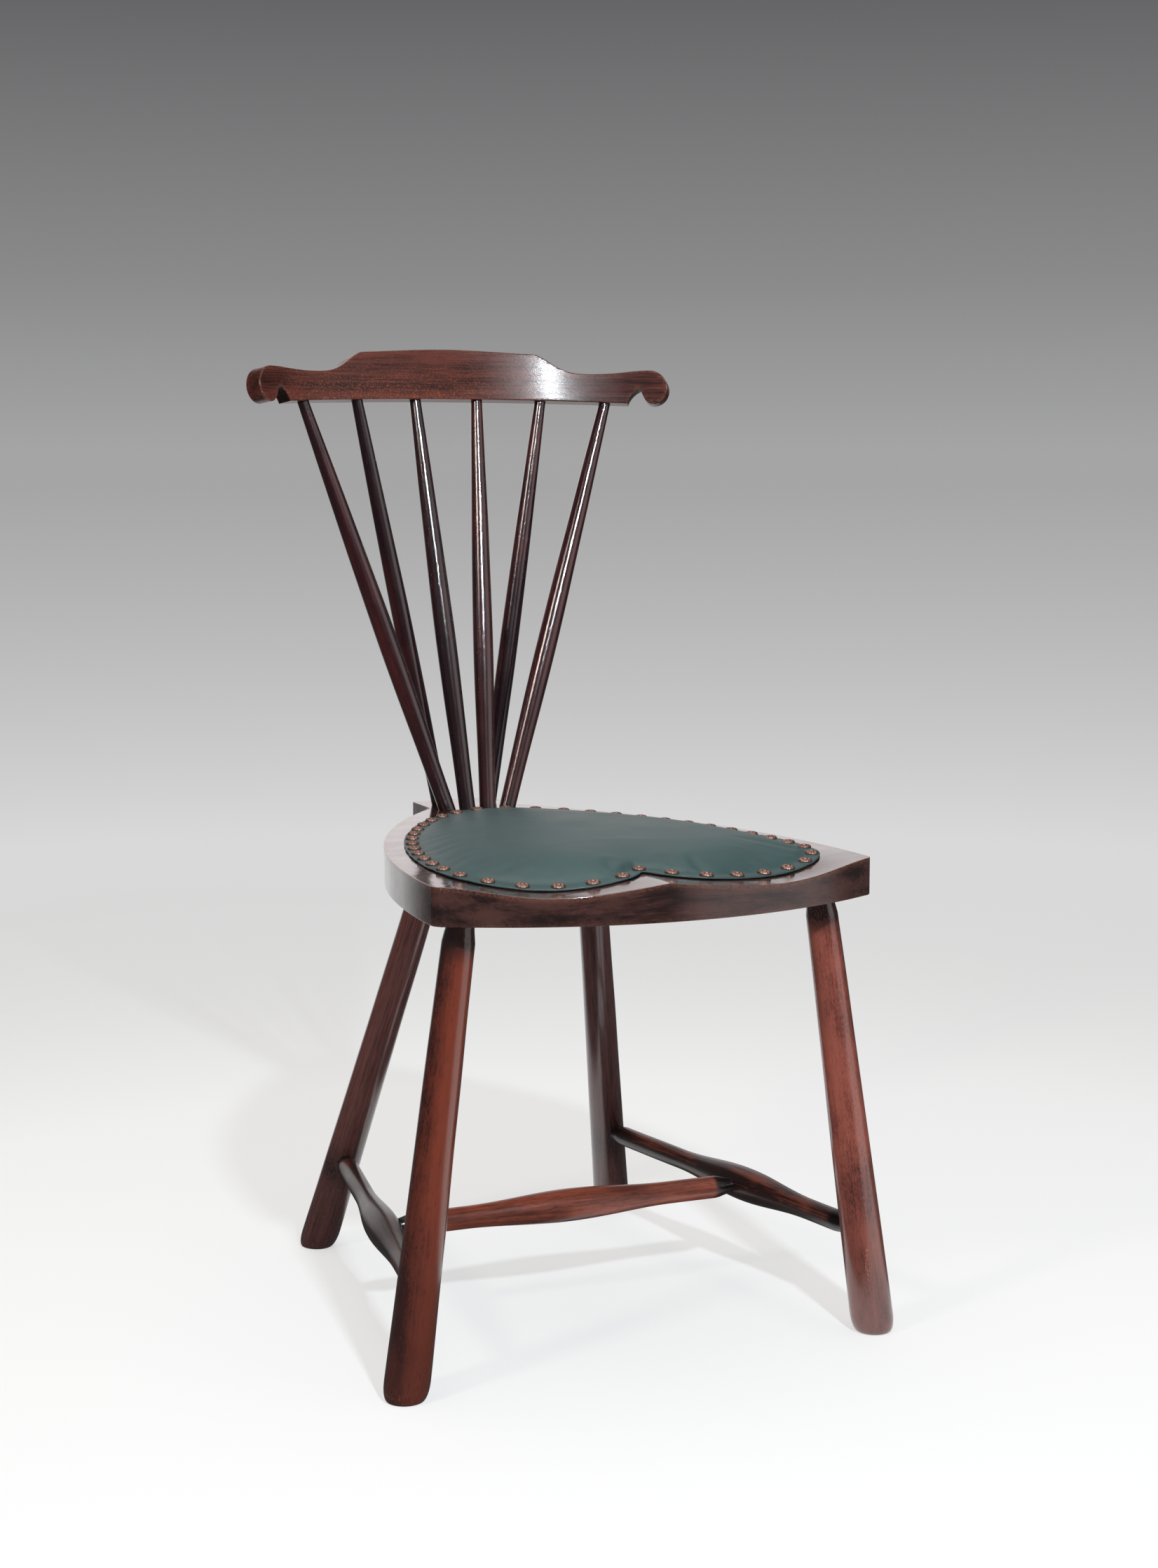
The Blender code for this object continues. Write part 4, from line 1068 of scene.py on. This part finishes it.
class CHAIR_OT_legs(bpy.types.Operator):
    """Turn the four legs"""

    bl_idname = "fan_chair.legs"
    bl_label = "Legs"
    steps = 56
    ring = 0.009
    sunk = 0.004
    foot_cuts = (0.0005, 0.0015, 0.003, 0.005, 0.008, 0.012, 0.017)
    wobble_seed = 3.7
    plank_start = Vector((0, 0, 8))
    plank_step = Vector((0.23, 0.41, 1.3))
    sole_wear = 0.9
    sole_width = 0.014
    low_soot = 0.4
    low_height = 0.180
    low_fade = 0.150
    neck_soot = 0.9
    soot_fade = 0.018
    joint_soot = {"front": 0.15, "rear": 0.8}
    joint_reach = 0.035
    # Painted light and shade on the front left leg: its strength, the turn of its lit side, and the balance
    # between light and dark.
    side_light_tint = {"front_leg_left": 0.85}
    lit_side_turn = math.radians(22)
    side_shade_balance = 0.55
    scuffs = {"front_leg_right": 0.072}
    scuff_turn = math.radians(-20)
    scuff_length = 0.030
    scuff_width = 0.006
    scuff_strength = 4
    look = {
        **WOOD_LOOK,
        "rub": 0.6, "rub_low": 0.52, "rub_high": 0.68, "mirror": 0.10, "gloss": 0.40,
        "coat": 1.0, "coat_roughness": 0.15, "coat_ior": 1.8, "speck_bump": 0.15,
    }
    front_tone = {"blend": (0.10, 0.16, 0.10, 0.40, 0.24), "pores": 0.45, "tone_low": 0.34, "tone_high": 0.58}
    rear_tone = {"blend": (0.30, 0.22, 0.36, 0.12), "tone_low": 0.36, "tone_high": 0.60}

    def execute(self, context):
        looks = {"front": {**self.look, **self.front_tone}, "rear": {**self.look, **self.rear_tone}}
        places = [(row, side_name) for row in looks for side_name in SIDES]
        for number, (row, side_name) in enumerate(places):
            self.make_leg(row, side_name, number, looks[row])
        return {"FINISHED"}

    def make_leg(self, row, side_name, number, look):
        node = f"{row}_leg_{side_name}"
        finish = settings("finish")
        legs = settings("legs")
        stretchers = settings("stretchers")
        foot_diameter = {"front": legs.front_diameter, "rear": legs.rear_diameter}[row]
        foot, top = leg_axis(row, SIDES[side_name])
        axis_length = (top - foot).length
        slant = (top - foot).xy.length / top.z
        shoulder = axis_length - slant * legs.neck_diameter / 2 - legs.neck_length
        neck_radius = legs.neck_diameter / 2
        heights = [-foot_diameter, *steps_between(2 * legs.foot_rise, shoulder, self.ring)]
        taper = (legs.top_diameter - foot_diameter) / 2 / (shoulder + foot_diameter)
        profile = [(height, foot_diameter / 2 + taper * (height + foot_diameter)) for height in heights]
        profile += [(shoulder + legs.neck_taper, neck_radius), (axis_length + self.sunk, neck_radius)]
        shape = spun(profile, self.steps)
        roughen(shape, legs.wobble, self.wobble_seed * number)
        placing = along(foot, top)
        to_leg = placing.to_3x3().inverted()
        down = to_leg @ Vector((0, 0, -1))
        scuffed = to_leg @ Vector((math.sin(self.scuff_turn), -math.cos(self.scuff_turn), 0))
        lit_side = to_leg @ Vector((math.sin(self.lit_side_turn), -math.cos(self.lit_side_turn), 0))
        sole_edges = only(bmesh.types.BMEdge, cut(shape, (0, 0, 0), down, clear_outer=True))
        bmesh.ops.contextual_create(shape, geom=sole_edges)
        self.round_foot(shape, down)

        def wear(place):
            sole = self.sole_wear * clamp(1 - place.z / self.sole_width)
            if node not in self.scuffs or place.dot(scuffed) < 0:
                return sole
            beside = abs(place.x * scuffed.y - place.y * scuffed.x)
            above = abs(place.z - self.scuffs[node])
            scuff = patch(beside, self.scuff_width) * patch(above, self.scuff_length)
            return max(sole, self.scuff_strength * scuff)

        def grime(place):
            top_end = self.neck_soot * clamp(1 - (shoulder - place.z) / self.soot_fade)
            low_end = self.low_soot * clamp((self.low_height - place.z) / self.low_fade)
            joint = self.joint_soot[row] * clamp(1 - abs(place.z - stretchers.height) / self.joint_reach)
            return max(top_end, low_end, joint)

        # Painted light and shade: the front left leg is lighter on the side turned towards the light and
        # darker round its far side.
        def tint(place):
            facing = place.xy.normalized().dot(lit_side.xy.normalized())
            return self.side_light_tint.get(node, 0) * (clamp(facing) ** 2 - self.side_shade_balance)

        mark(shape, self.plank_start + number * self.plank_step, wear=wear, grime=grime, tint=tint)
        material = wood_material(f"{node}_wood", finish.leg_dark, getattr(finish, node), look)
        add_turned(f"turned_{node}", shape, placing, material, node)

    def round_foot(self, shape, down):
        """Rounds the sole's edge. The floor lies at the origin, and down points to it."""
        legs = settings("legs")
        for height in self.foot_cuts:
            cut(shape, -height * down, down)
        for vert in shape.verts:
            height = max(-vert.co.dot(down), 0)
            left = 1 - height / legs.foot_rise
            if left > 0:
                outwards = vert.co - Vector((0, 0, -height / down.z))
                vert.co -= outwards.normalized() * legs.foot_inset * (1 - math.sqrt(1 - left**2))


# Stretchers


def side_stretcher_axis(side):
    height = settings("stretchers").height
    return tuple(on_axis(leg_axis(row, side), height) for row in ("front", "rear"))


def centre_stretcher_axis():
    centre_y = settings("stretchers").centre_y
    ends = []
    for side in SIDES.values():
        front, rear = side_stretcher_axis(side)
        ends.append(front.lerp(rear, (centre_y - front.y) / (rear.y - front.y)))
    return tuple(ends)


class CHAIR_OT_stretchers(bpy.types.Operator):
    """Turn the three stretchers"""

    bl_idname = "fan_chair.stretchers"
    bl_label = "Stretchers"
    tints = {"side_stretcher_left": -0.5, "side_stretcher_right": -0.45, "centre_stretcher": 0.2}
    steps = 48
    ring = 0.004
    tenon_shown = 0.004
    wobble_seed = 5.1
    plank_start = Vector((0, 0, 20))
    plank_step = Vector((0.37, 0.29, 1.7))
    tip_soot = 1.8
    soot_fade = 0.004
    look = {
        **WOOD_LOOK,
        "pores": 0.9, "mirror": 0.15, "gloss": 0.34, "coat": 0.5, "coat_roughness": 0.20,
        "coat_ior": 1.7, "fibre_bump": 0.5,
    }

    def execute(self, context):
        sizes = settings("stretchers")
        legs = settings("legs")
        finish = settings("finish")
        material = wood_material("stretcher_wood", finish.stretcher_dark, finish.stretcher_warm, self.look)
        height_share = sizes.height / leg_axis("front", 1)[1].z
        tips = []
        for foot_diameter in (legs.front_diameter, legs.rear_diameter):
            tips.append((foot_diameter + (legs.top_diameter - foot_diameter) * height_share) / 2)
        side_diameters = (sizes.side_tenon, sizes.side_end, sizes.side_middle)
        for number, (side_name, side) in enumerate(SIDES.items()):
            front, rear = side_stretcher_axis(side)
            swell_at = (rear - front).length * (sizes.centre_y - front.y) / (rear.y - front.y)
            name = f"side_stretcher_{side_name}"
            self.make_stretcher(name, (front, rear), swell_at, tips, side_diameters, number, material)
        left, right = centre_stretcher_axis()
        centre_diameters = (sizes.centre_tenon, sizes.centre_end, sizes.centre_middle)
        swell_at = (right - left).length / 2
        tips = [sizes.side_middle / 2] * 2
        self.make_stretcher("centre_stretcher", (left, right), swell_at, tips, centre_diameters, 2, material)
        return {"FINISHED"}

    def make_stretcher(self, name, axis, swell_at, tips, diameters, number, material):
        sizes = settings("stretchers")
        tenon, end, middle = (diameter / 2 for diameter in diameters)
        axis_length = (axis[1] - axis[0]).length
        first = tips[0] + sizes.tip_length
        last = axis_length - tips[1] - sizes.tip_length
        half_swell = min(sizes.swell_length / 2, swell_at - first, last - swell_at)

        def from_tip(place):
            return min(place - tips[0], axis_length - tips[1] - place)

        def radius_at(place):
            narrowing = clamp(from_tip(place) / sizes.tip_length)
            swelling = math.cos(math.pi / 2 * min(abs(place - swell_at) / half_swell, 1)) ** 2
            return tenon + (end - tenon) * narrowing + (middle - end) * swelling

        start = tips[0] - self.tenon_shown
        places = steps_between(start, axis_length - tips[1] + self.tenon_shown, self.ring)
        shape = spun([(place, radius_at(place)) for place in places], self.steps)
        roughen(shape, sizes.wobble, self.wobble_seed * number)

        def grime(place):
            past_tip = from_tip(place.z) - sizes.tip_length
            return self.tip_soot * clamp(1 - past_tip / self.soot_fade)

        mark(shape, self.plank_start + number * self.plank_step, tint=self.tints[name], grime=grime)
        add_turned(f"turned_{name}", shape, along(*axis), material, name)


# Leather pad


def pad_half(side):
    """One half of the heart, from the cleft round the lobe to the rear middle."""
    seat = settings("seat")
    pad = settings("pad")
    cleft = Vector((-seat.pommel_shift, pad.cleft_y))
    lobe_x = side * pad.lobe_x - seat.pommel_shift
    lobe_angle = math.asin(lobe_x / front_radius(seat))
    lobe = Vector((lobe_x, front_edge(seat, lobe_x) + pad.front_margin / math.cos(lobe_angle)))
    lobe_direction = side * Vector((math.cos(lobe_angle), math.sin(lobe_angle)))
    flank = Vector((side * (seat.front_width / 2 - pad.side_margin), pad.side_y))
    rear = Vector((0, pad.rear_y))
    reach = abs(flank.x - lobe.x)
    depth = rear.y - flank.y
    from_cleft = cleft + Vector((side * (cleft.y - lobe.y) / 2, lobe.y - cleft.y))
    to_flank = flank - Vector((0, (flank.y - lobe.y) / 2))
    to_rear = rear + Vector((pad.rear_fullness * flank.x, 0))
    half = bezier(cleft, from_cleft, lobe - pad.lobe_x / 2 * lobe_direction, lobe, PAD_STEPS)
    half += bezier(lobe, lobe + pad.lobe_fullness * reach * lobe_direction, to_flank, flank, PAD_STEPS)
    half += bezier(flank, flank + Vector((0, depth / 2)), to_rear, rear, 2 * PAD_STEPS)
    return half + [rear]


def pad_outline():
    """The leather's edge, against the clock from the cleft."""
    return pad_half(1) + list(reversed(pad_half(-1)))[1:-1]


def nail_line():
    nails = settings("nails")
    return evenly_spaced(inset(pad_outline(), nails.inset), nails.count)


def crown_of(outline):
    """A function that gives the height of the stuffing at a place in the plane."""
    pad = settings("pad")
    rim = inset(evenly_spaced(outline, CROWN_POINTS), pad.rim)
    middle = sum(rim, Vector((0, 0))) / len(rim)
    arms = [point - middle for point in rim]
    around = sorted((math.atan2(arm.y, arm.x), arm.length) for arm in arms)

    def rim_radius(turn):
        for (before, first), (after, second) in zip(around, around[1:]):
            if before <= turn <= after:
                return first + (second - first) * (turn - before) / max(after - before, LEAST_TURN)
        return around[0][1]

    def crown(place):
        arm = Vector((place.x, place.y)) - middle
        scale = min(arm.length / rim_radius(math.atan2(arm.y, arm.x)), 1)
        back = clamp((place.y - pad.drop_y) / (pad.rear_y - pad.drop_y))
        fall = pad.rear_drop * back**2 * (3 - 2 * back)
        return pad.crown * (1 - scale**pad.crown_power) ** pad.crown_ease * (1 - fall)

    return crown


class CHAIR_OT_pad(bpy.types.Operator):
    """Stretch the leather over its stuffing"""

    bl_idname = "fan_chair.pad"
    bl_label = "Leather pad"
    edge_points = 252
    ripples_per_metre = 70
    weld_share = 0.2
    frames = 20
    pressure = 4.0
    stiffness = 2.0
    edge_hold = 0.2
    edge_shade = 0.9

    def execute(self, context):
        seat = settings("seat")
        pad = settings("pad")
        nails = settings("nails")
        outline = pad_outline()
        crown = crown_of(outline)
        nail_distance = distance_to(nail_line())
        edge = self.rippled(evenly_spaced(outline, self.edge_points))
        edge_distance = distance_to(edge)
        shape = bmesh.new()
        corners = [shape.verts.new((point.x, point.y, 0)) for point in edge]
        shape.faces.new(corners)
        low = Vector((min(p.x for p in edge), min(p.y for p in edge)))
        high = Vector((max(p.x for p in edge), max(p.y for p in edge)))
        cut_across(shape, steps_between(low.x, high.x, pad.cell)[1:-1], "X")
        cut_across(shape, steps_between(low.y, high.y, pad.cell)[1:-1], "Y")
        bmesh.ops.remove_doubles(shape, verts=shape.verts, dist=self.weld_share * pad.cell)
        fullness = pad.slack
        for vert in shape.verts:
            rise = pad.gap + pad.leather + fullness * crown(vert.co)
            vert.co.z = seat_top(seat, vert.co.x, vert.co.y) + rise
        shape = self.stretched(shape, nail_distance, edge_distance)
        for vert in shape.verts:
            near_nail = math.exp(-((nail_distance(vert.co) / nails.diameter) ** 2))
            height = crown(vert.co)
            puff = pad.puff * (1 - near_nail) * (1 - height / pad.crown)
            ceiling = seat_top(seat, vert.co.x, vert.co.y) + pad.gap + pad.leather + height + puff
            vert.co.z = min(vert.co.z, ceiling)

        shade_layer = shape.verts.layers.float.new("grime")
        top_faces = list(shape.faces)
        rim_edges = [item for item in shape.edges if item.is_boundary]
        copied = bmesh.ops.duplicate(shape, geom=[*shape.verts, *shape.edges, *top_faces])
        # The underside copy is marked dark: painted shade under the leather's edge, fading up the wall that
        # joins it to the top.
        for vert in only(bmesh.types.BMVert, copied["geom"]):
            vert.co.z = seat_top(seat, vert.co.x, vert.co.y) + pad.gap
            vert[shade_layer] = self.edge_shade
        under_edges = [item for item in only(bmesh.types.BMEdge, copied["geom"]) if item.is_boundary]
        bmesh.ops.bridge_loops(shape, edges=rim_edges + under_edges)
        piece = add_piece(
            "leather_pad", shape, leather_material(), ["leather_cover", "seat_stuffing"]
        )
        subdivision = piece.modifiers.new("smoothing", "SUBSURF")
        subdivision.levels = 1
        subdivision.render_levels = 1
        return {"FINISHED"}

    def rippled(self, edge):
        """The edge as cut by hand: drawn in a little here and there."""
        pad = settings("pad")
        inner = inset(edge, pad.ripple)
        parts = [0.5 + 0.5 * noise.noise(point.to_3d() * self.ripples_per_metre) for point in edge]
        return [point.lerp(drawn_in, part) for point, drawn_in, part in zip(edge, inner, parts)]

    def stretched(self, shape, nail_distance, edge_distance):
        """The leather after the stuffing has pushed against it between the nails."""
        pad = settings("pad")
        nails = settings("nails")
        scene = bpy.context.scene
        start = [vert.co.copy() for vert in shape.verts]
        mesh = bpy.data.meshes.new("leather_trial")
        shape.to_mesh(mesh)
        shape.free()
        trial = bpy.data.objects.new("leather_trial", mesh)
        scene.collection.objects.link(trial)
        held = trial.vertex_groups.new(name="held")
        for index, place in enumerate(start):
            under_head = nail_distance(place) < nails.diameter / 2
            at_edge = edge_distance(place) < pad.cell / 2
            if under_head or at_edge:
                held.add([index], 1.0 if under_head else self.edge_hold, "REPLACE")
        cloth = trial.modifiers.new("leather", "CLOTH")
        cloth.settings.vertex_group_mass = "held"
        cloth.settings.effector_weights.gravity = 0
        cloth.settings.use_pressure = True
        cloth.settings.uniform_pressure_force = self.pressure
        cloth.settings.bending_stiffness = self.stiffness
        cloth.point_cache.frame_start = 1
        cloth.point_cache.frame_end = self.frames
        for number in range(1, self.frames + 1):
            scene.frame_set(number)
        evaluated = trial.evaluated_get(bpy.context.evaluated_depsgraph_get())
        pushed = [vert.co.copy() for vert in evaluated.data.vertices]
        bpy.data.objects.remove(trial, do_unlink=True)
        scene.frame_set(1)
        shape = bmesh.new()
        shape.from_mesh(mesh)
        bpy.data.meshes.remove(mesh)
        for vert, first, last in zip(shape.verts, start, pushed):
            move = last - first
            if move.length > pad.cap:
                move = move.normalized() * pad.cap
            vert.co = first + move
        return shape


# Nails


class CHAIR_OT_nails(bpy.types.Operator):
    """Drive the nails round the leather"""

    bl_idname = "fan_chair.nails"
    bl_label = "Nails"
    steps_per_petal = 4
    rim_low = 0.0004
    rim_high = 0.0009
    dome = ((0.55, 0.93), (0.80, 0.72), (0.84, 0.52), (0.72, 0.38), (0.92, 0.30), (1.0, 0.15))
    dome_low = 0.001
    petal_inner = 0.36
    petal_outer = 1.06
    petal_fade = 0.1
    petal_depth = 0.16
    petal_shade = 0.35
    groove_at = 0.38
    groove_width = 0.08
    groove_shade = 0.3
    rim_shade = 0.4

    def execute(self, context):
        seat = settings("seat")
        pad = settings("pad")
        nails = settings("nails")
        radius = nails.diameter / 2
        rise = nails.rise
        profile = [(self.rim_low, radius), (self.rim_high, radius)]
        profile += [(up * rise, out * radius) for up, out in self.dome]
        head = spun(profile, nails.petals * self.steps_per_petal)
        grime = head.verts.layers.float.new("grime")
        for vert in head.verts:
            out = vert.co.xy.length / radius
            between = (1 - math.cos(nails.petals * math.atan2(vert.co.y, vert.co.x))) / 2
            inside = clamp((self.petal_outer - out) / self.petal_fade)
            on_petal = inside * clamp((out - self.petal_inner) / self.petal_fade)
            # Painted shade: darker between the petals, in the groove round the dome and under the rim.
            if vert.co.z > self.dome_low:
                vert.co.z -= self.petal_depth * rise * between * on_petal
                groove = clamp(1 - abs(out - self.groove_at) / self.groove_width)
                vert[grime] = clamp(self.petal_shade * between * on_petal + self.groove_shade * groove)
            else:
                vert[grime] = self.rim_shade
        mesh = bpy.data.meshes.new("nail")
        head.to_mesh(mesh)
        head.free()
        shape = bmesh.new()
        for number, point in enumerate(nail_line()):
            normal = seat_normal(seat, point.x, point.y)
            start = Vector((point.x, point.y, seat_top(seat, point.x, point.y)))
            start += normal * (pad.gap + pad.leather)
            known = len(shape.verts)
            shape.from_mesh(mesh)
            shape.verts.ensure_lookup_table()
            turn = Matrix.Rotation(number * GOLDEN_ANGLE, 4, "Z")
            bmesh.ops.transform(shape, matrix=along(start, start + normal) @ turn, verts=shape.verts[known:])
        bpy.data.meshes.remove(mesh)
        names = [f"nail_{number:02d}" for number in range(1, nails.count + 1)]
        add_piece("nail_heads", shape, nail_material(), names)
        return {"FINISHED"}


# Stage


def aim_light(name, power, tone, size, turn, rise, distance, height):
    """A square lamp that looks at the chair from this turn about it and this rise above the ground."""
    lamp = bpy.data.lights.new(name, "AREA")
    lamp.energy = power
    lamp.color = tone
    lamp.size = size
    holder = bpy.data.objects.new(name, lamp)
    level = math.cos(rise)
    towards = Vector((math.sin(turn) * level, -math.cos(turn) * level, math.sin(rise)))
    aim = Vector((0, 0, height))
    holder.matrix_world = along(aim + towards * distance, aim + towards * 2 * distance)
    bpy.context.scene.collection.objects.link(holder)


def colour_ramp(tree, value, stops):
    node = add_node(tree, "ShaderNodeValToRGB", None, {"Fac": value})
    elements = node.color_ramp.elements
    while len(elements) < len(stops):
        elements.new(0.5)
    for element, (position, tone) in zip(elements, stops):
        element.position = position
        element.color = (*tone, 1)
    return node.outputs[0]


class CHAIR_OT_stage(bpy.types.Operator):
    """Set up the floor, the lamps and the camera"""

    bl_idname = "fan_chair.stage"
    bl_label = "Stage"
    lamp_sizes = {"top": 2.4, "key": 0.14, "fill": 0.35}
    lamp_turns = {"top": 0, "key": math.radians(-6.5), "fill": math.radians(-63)}
    lamp_rises = {"top": math.radians(89), "key": math.radians(33), "fill": math.radians(32)}
    lamp_distances = {"top": 2.3, "key": 3.0, "fill": 3.0}
    lamp_aim = 0.4
    floor_radius = 60.0
    floor_segments = 128
    floor_roughness = 0.9
    floor_mirror = 0.1
    ground_stops = {"middle": 0.25, "near": 0.55, "paper": 0.8}
    shadow_reach = (1.2, 3.2)
    rear_wall = ((0.139, 0.990, 0), 0.84, 0.965)
    right_wall = ((0.719, -0.695, 0), 0.87, 0.98)
    wall_top = (0.25, 0.60)
    ceiling_share = 0.35
    backdrop_low = 0.064
    backdrop_top = 0.165

    def execute(self, context):
        stage = settings("stage")
        self.make_floor(stage)
        self.make_world(stage)
        tones = {"top": stage.soft_tone, "key": stage.key_tone, "fill": stage.soft_tone}
        places = (self.lamp_sizes, self.lamp_turns, self.lamp_rises, self.lamp_distances)
        for name, tone in tones.items():
            placing = [values[name] for values in places]
            aim_light(f"{name}_lamp", getattr(stage, name), tone, *placing, self.lamp_aim)
        self.make_camera(stage)
        context.scene.view_settings.view_transform = "Standard"
        return {"FINISHED"}

    def make_floor(self, stage):
        shape = bmesh.new()
        bmesh.ops.create_circle(shape, cap_ends=True, segments=self.floor_segments, radius=self.floor_radius)
        mesh = bpy.data.meshes.new("studio_floor")
        shape.to_mesh(mesh)
        shape.free()
        floor = bpy.data.objects.new("studio_floor", mesh)
        bpy.context.scene.collection.objects.link(floor)
        material, tree, shader = new_material("floor_paper", stage.floor)
        shader.inputs["Base Color"].default_value = (*stage.floor, 1)
        shader.inputs["Roughness"].default_value = self.floor_roughness
        shader.inputs["Specular IOR Level"].default_value = self.floor_mirror
        place = add_node(tree, "ShaderNodeTexCoord").outputs["Object"]
        far = vector_maths(tree, "LENGTH", place)["Value"]
        nearness = maths(tree, "DIVIDE", 1.0, maths(tree, "ADD", far, 1.0))
        rim = 1 / (1 + self.floor_radius)
        tones = {"middle": stage.middle_ground, "near": stage.near_ground, "paper": stage.paper}
        stops = [(position, tones[name]) for name, position in self.ground_stops.items()]
        tone = colour_ramp(tree, nearness, [(rim, stage.horizon), *stops])
        path = add_node(tree, "ShaderNodeLightPath").outputs
        mirrors = maths(tree, "MAXIMUM", path["Is Glossy Ray"], path["Is Transmission Ray"])
        room = self.mirrored_light(tree, place, stage)
        strength = maths(tree, "MAXIMUM", path["Is Camera Ray"], room)
        glow = add_node(tree, "ShaderNodeEmission", None, {"Color": tone, "Strength": strength})
        share_far = ramp(tree, far, *self.shadow_reach, stage.floor_glow, 1.0)
        seen = maths(tree, "MULTIPLY", share_far, path["Is Camera Ray"])
        fade = maths(tree, "MAXIMUM", seen, mirrors)
        inputs = {0: fade, 1: shader.outputs[0], 2: glow.outputs[0]}
        mixed = add_node(tree, "ShaderNodeMixShader", None, inputs)
        tree.links.new(mixed.outputs[0], tree.nodes["Material Output"].inputs["Surface"])
        mesh.materials.append(material)

    def mirrored_light(self, tree, direction, stage):
        """How bright polish finds the room this way: one white wall behind the chair, one on its right."""
        flat = vector_maths(tree, "MULTIPLY", direction, (1, 1, 0))["Vector"]
        level_way = vector_maths(tree, "NORMALIZE", flat)["Vector"]
        levels = ((self.rear_wall, stage.mirrored_rear), (self.right_wall, stage.mirrored_right))
        walls = []
        for (axis, first, last), level in levels:
            facing = vector_maths(tree, "DOT_PRODUCT", level_way, axis)["Value"]
            walls.append(ramp(tree, facing, first, last, stage.mirrored_front, level))
        height = add_node(tree, "ShaderNodeSeparateXYZ", None, {0: direction}).outputs["Z"]
        upwards = ramp(tree, height, *self.wall_top, 1.0, self.ceiling_share)
        return maths(tree, "MULTIPLY", maths(tree, "MAXIMUM", *walls), upwards)

    def make_world(self, stage):
        world = bpy.data.worlds.new("studio")
        world.use_nodes = True
        tree = world.node_tree
        ambient = tree.nodes["Background"]
        ambient.inputs["Color"].default_value = (1, 1, 1, 1)
        ambient.inputs["Strength"].default_value = stage.ambient
        direction = add_node(tree, "ShaderNodeTexCoord").outputs["Generated"]
        parts = add_node(tree, "ShaderNodeSeparateXYZ", None, {0: direction}).outputs
        stops = [(0, stage.horizon), (self.backdrop_low, stage.low_sky), (self.backdrop_top, stage.sky)]
        tone = colour_ramp(tree, parts["Z"], stops)
        backdrop = add_node(tree, "ShaderNodeBackground", None, {"Color": tone, "Strength": 1.0})
        room = self.mirrored_light(tree, direction, stage)
        mirrored_room = add_node(tree, "ShaderNodeBackground", None, {"Strength": room})
        mirrored_room.inputs["Color"].default_value = (*stage.mirrored_tone, 1)
        path = add_node(tree, "ShaderNodeLightPath").outputs
        mirrors = maths(tree, "MAXIMUM", path["Is Glossy Ray"], path["Is Transmission Ray"])
        shader = ambient
        for seen_by, other in ((mirrors, mirrored_room), (path["Is Camera Ray"], backdrop)):
            inputs = {0: seen_by, 1: shader.outputs[0], 2: other.outputs[0]}
            shader = add_node(tree, "ShaderNodeMixShader", None, inputs)
        tree.links.new(shader.outputs[0], tree.nodes["World Output"].inputs["Surface"])
        bpy.context.scene.world = world

    def make_camera(self, stage):
        view = bpy.data.cameras.new("photo_camera")
        view.lens = stage.lens
        camera = bpy.data.objects.new("photo_camera", view)
        camera.rotation_euler = (math.pi / 2 - stage.camera_rise, 0, stage.camera_turn)
        facing = camera.rotation_euler.to_matrix()
        aim = Vector((0, 0, stage.camera_aim)) + facing @ Vector((stage.camera_aside, 0, 0))
        camera.location = aim + facing @ Vector((0, 0, stage.camera_distance))
        bpy.context.scene.collection.objects.link(camera)
        bpy.context.scene.camera = camera


# Panel and registration


OPERATORS = (
    CHAIR_OT_seat,
    CHAIR_OT_crest,
    CHAIR_OT_sticks,
    CHAIR_OT_legs,
    CHAIR_OT_stretchers,
    CHAIR_OT_pad,
    CHAIR_OT_nails,
    CHAIR_OT_stage,
)


class CHAIR_PT_panel(bpy.types.Panel):
    """Lists the pieces of the chair"""

    bl_idname = "CHAIR_PT_panel"
    bl_label = "Fan back chair"
    bl_space_type = "VIEW_3D"
    bl_region_type = "UI"
    bl_category = "Chair"

    def draw(self, context):
        for operator in OPERATORS:
            self.layout.operator(operator.bl_idname)


CLASSES = (*SETTINGS.values(), *OPERATORS, CHAIR_PT_panel)


def register():
    for item in CLASSES:
        bpy.utils.register_class(item)
    for name, group in SETTINGS.items():
        setattr(bpy.types.Scene, f"fan_chair_{name}", bpy.props.PointerProperty(type=group))


def unregister():
    for name in SETTINGS:
        delattr(bpy.types.Scene, f"fan_chair_{name}")
    for item in reversed(CLASSES):
        bpy.utils.unregister_class(item)


def main():
    register()
    bpy.ops.fan_chair.seat()
    bpy.ops.fan_chair.crest()
    bpy.ops.fan_chair.sticks()
    bpy.ops.fan_chair.legs()
    bpy.ops.fan_chair.stretchers()
    bpy.ops.fan_chair.pad()
    bpy.ops.fan_chair.nails()
    bpy.ops.fan_chair.stage()


if __name__ == "__main__":
    main()
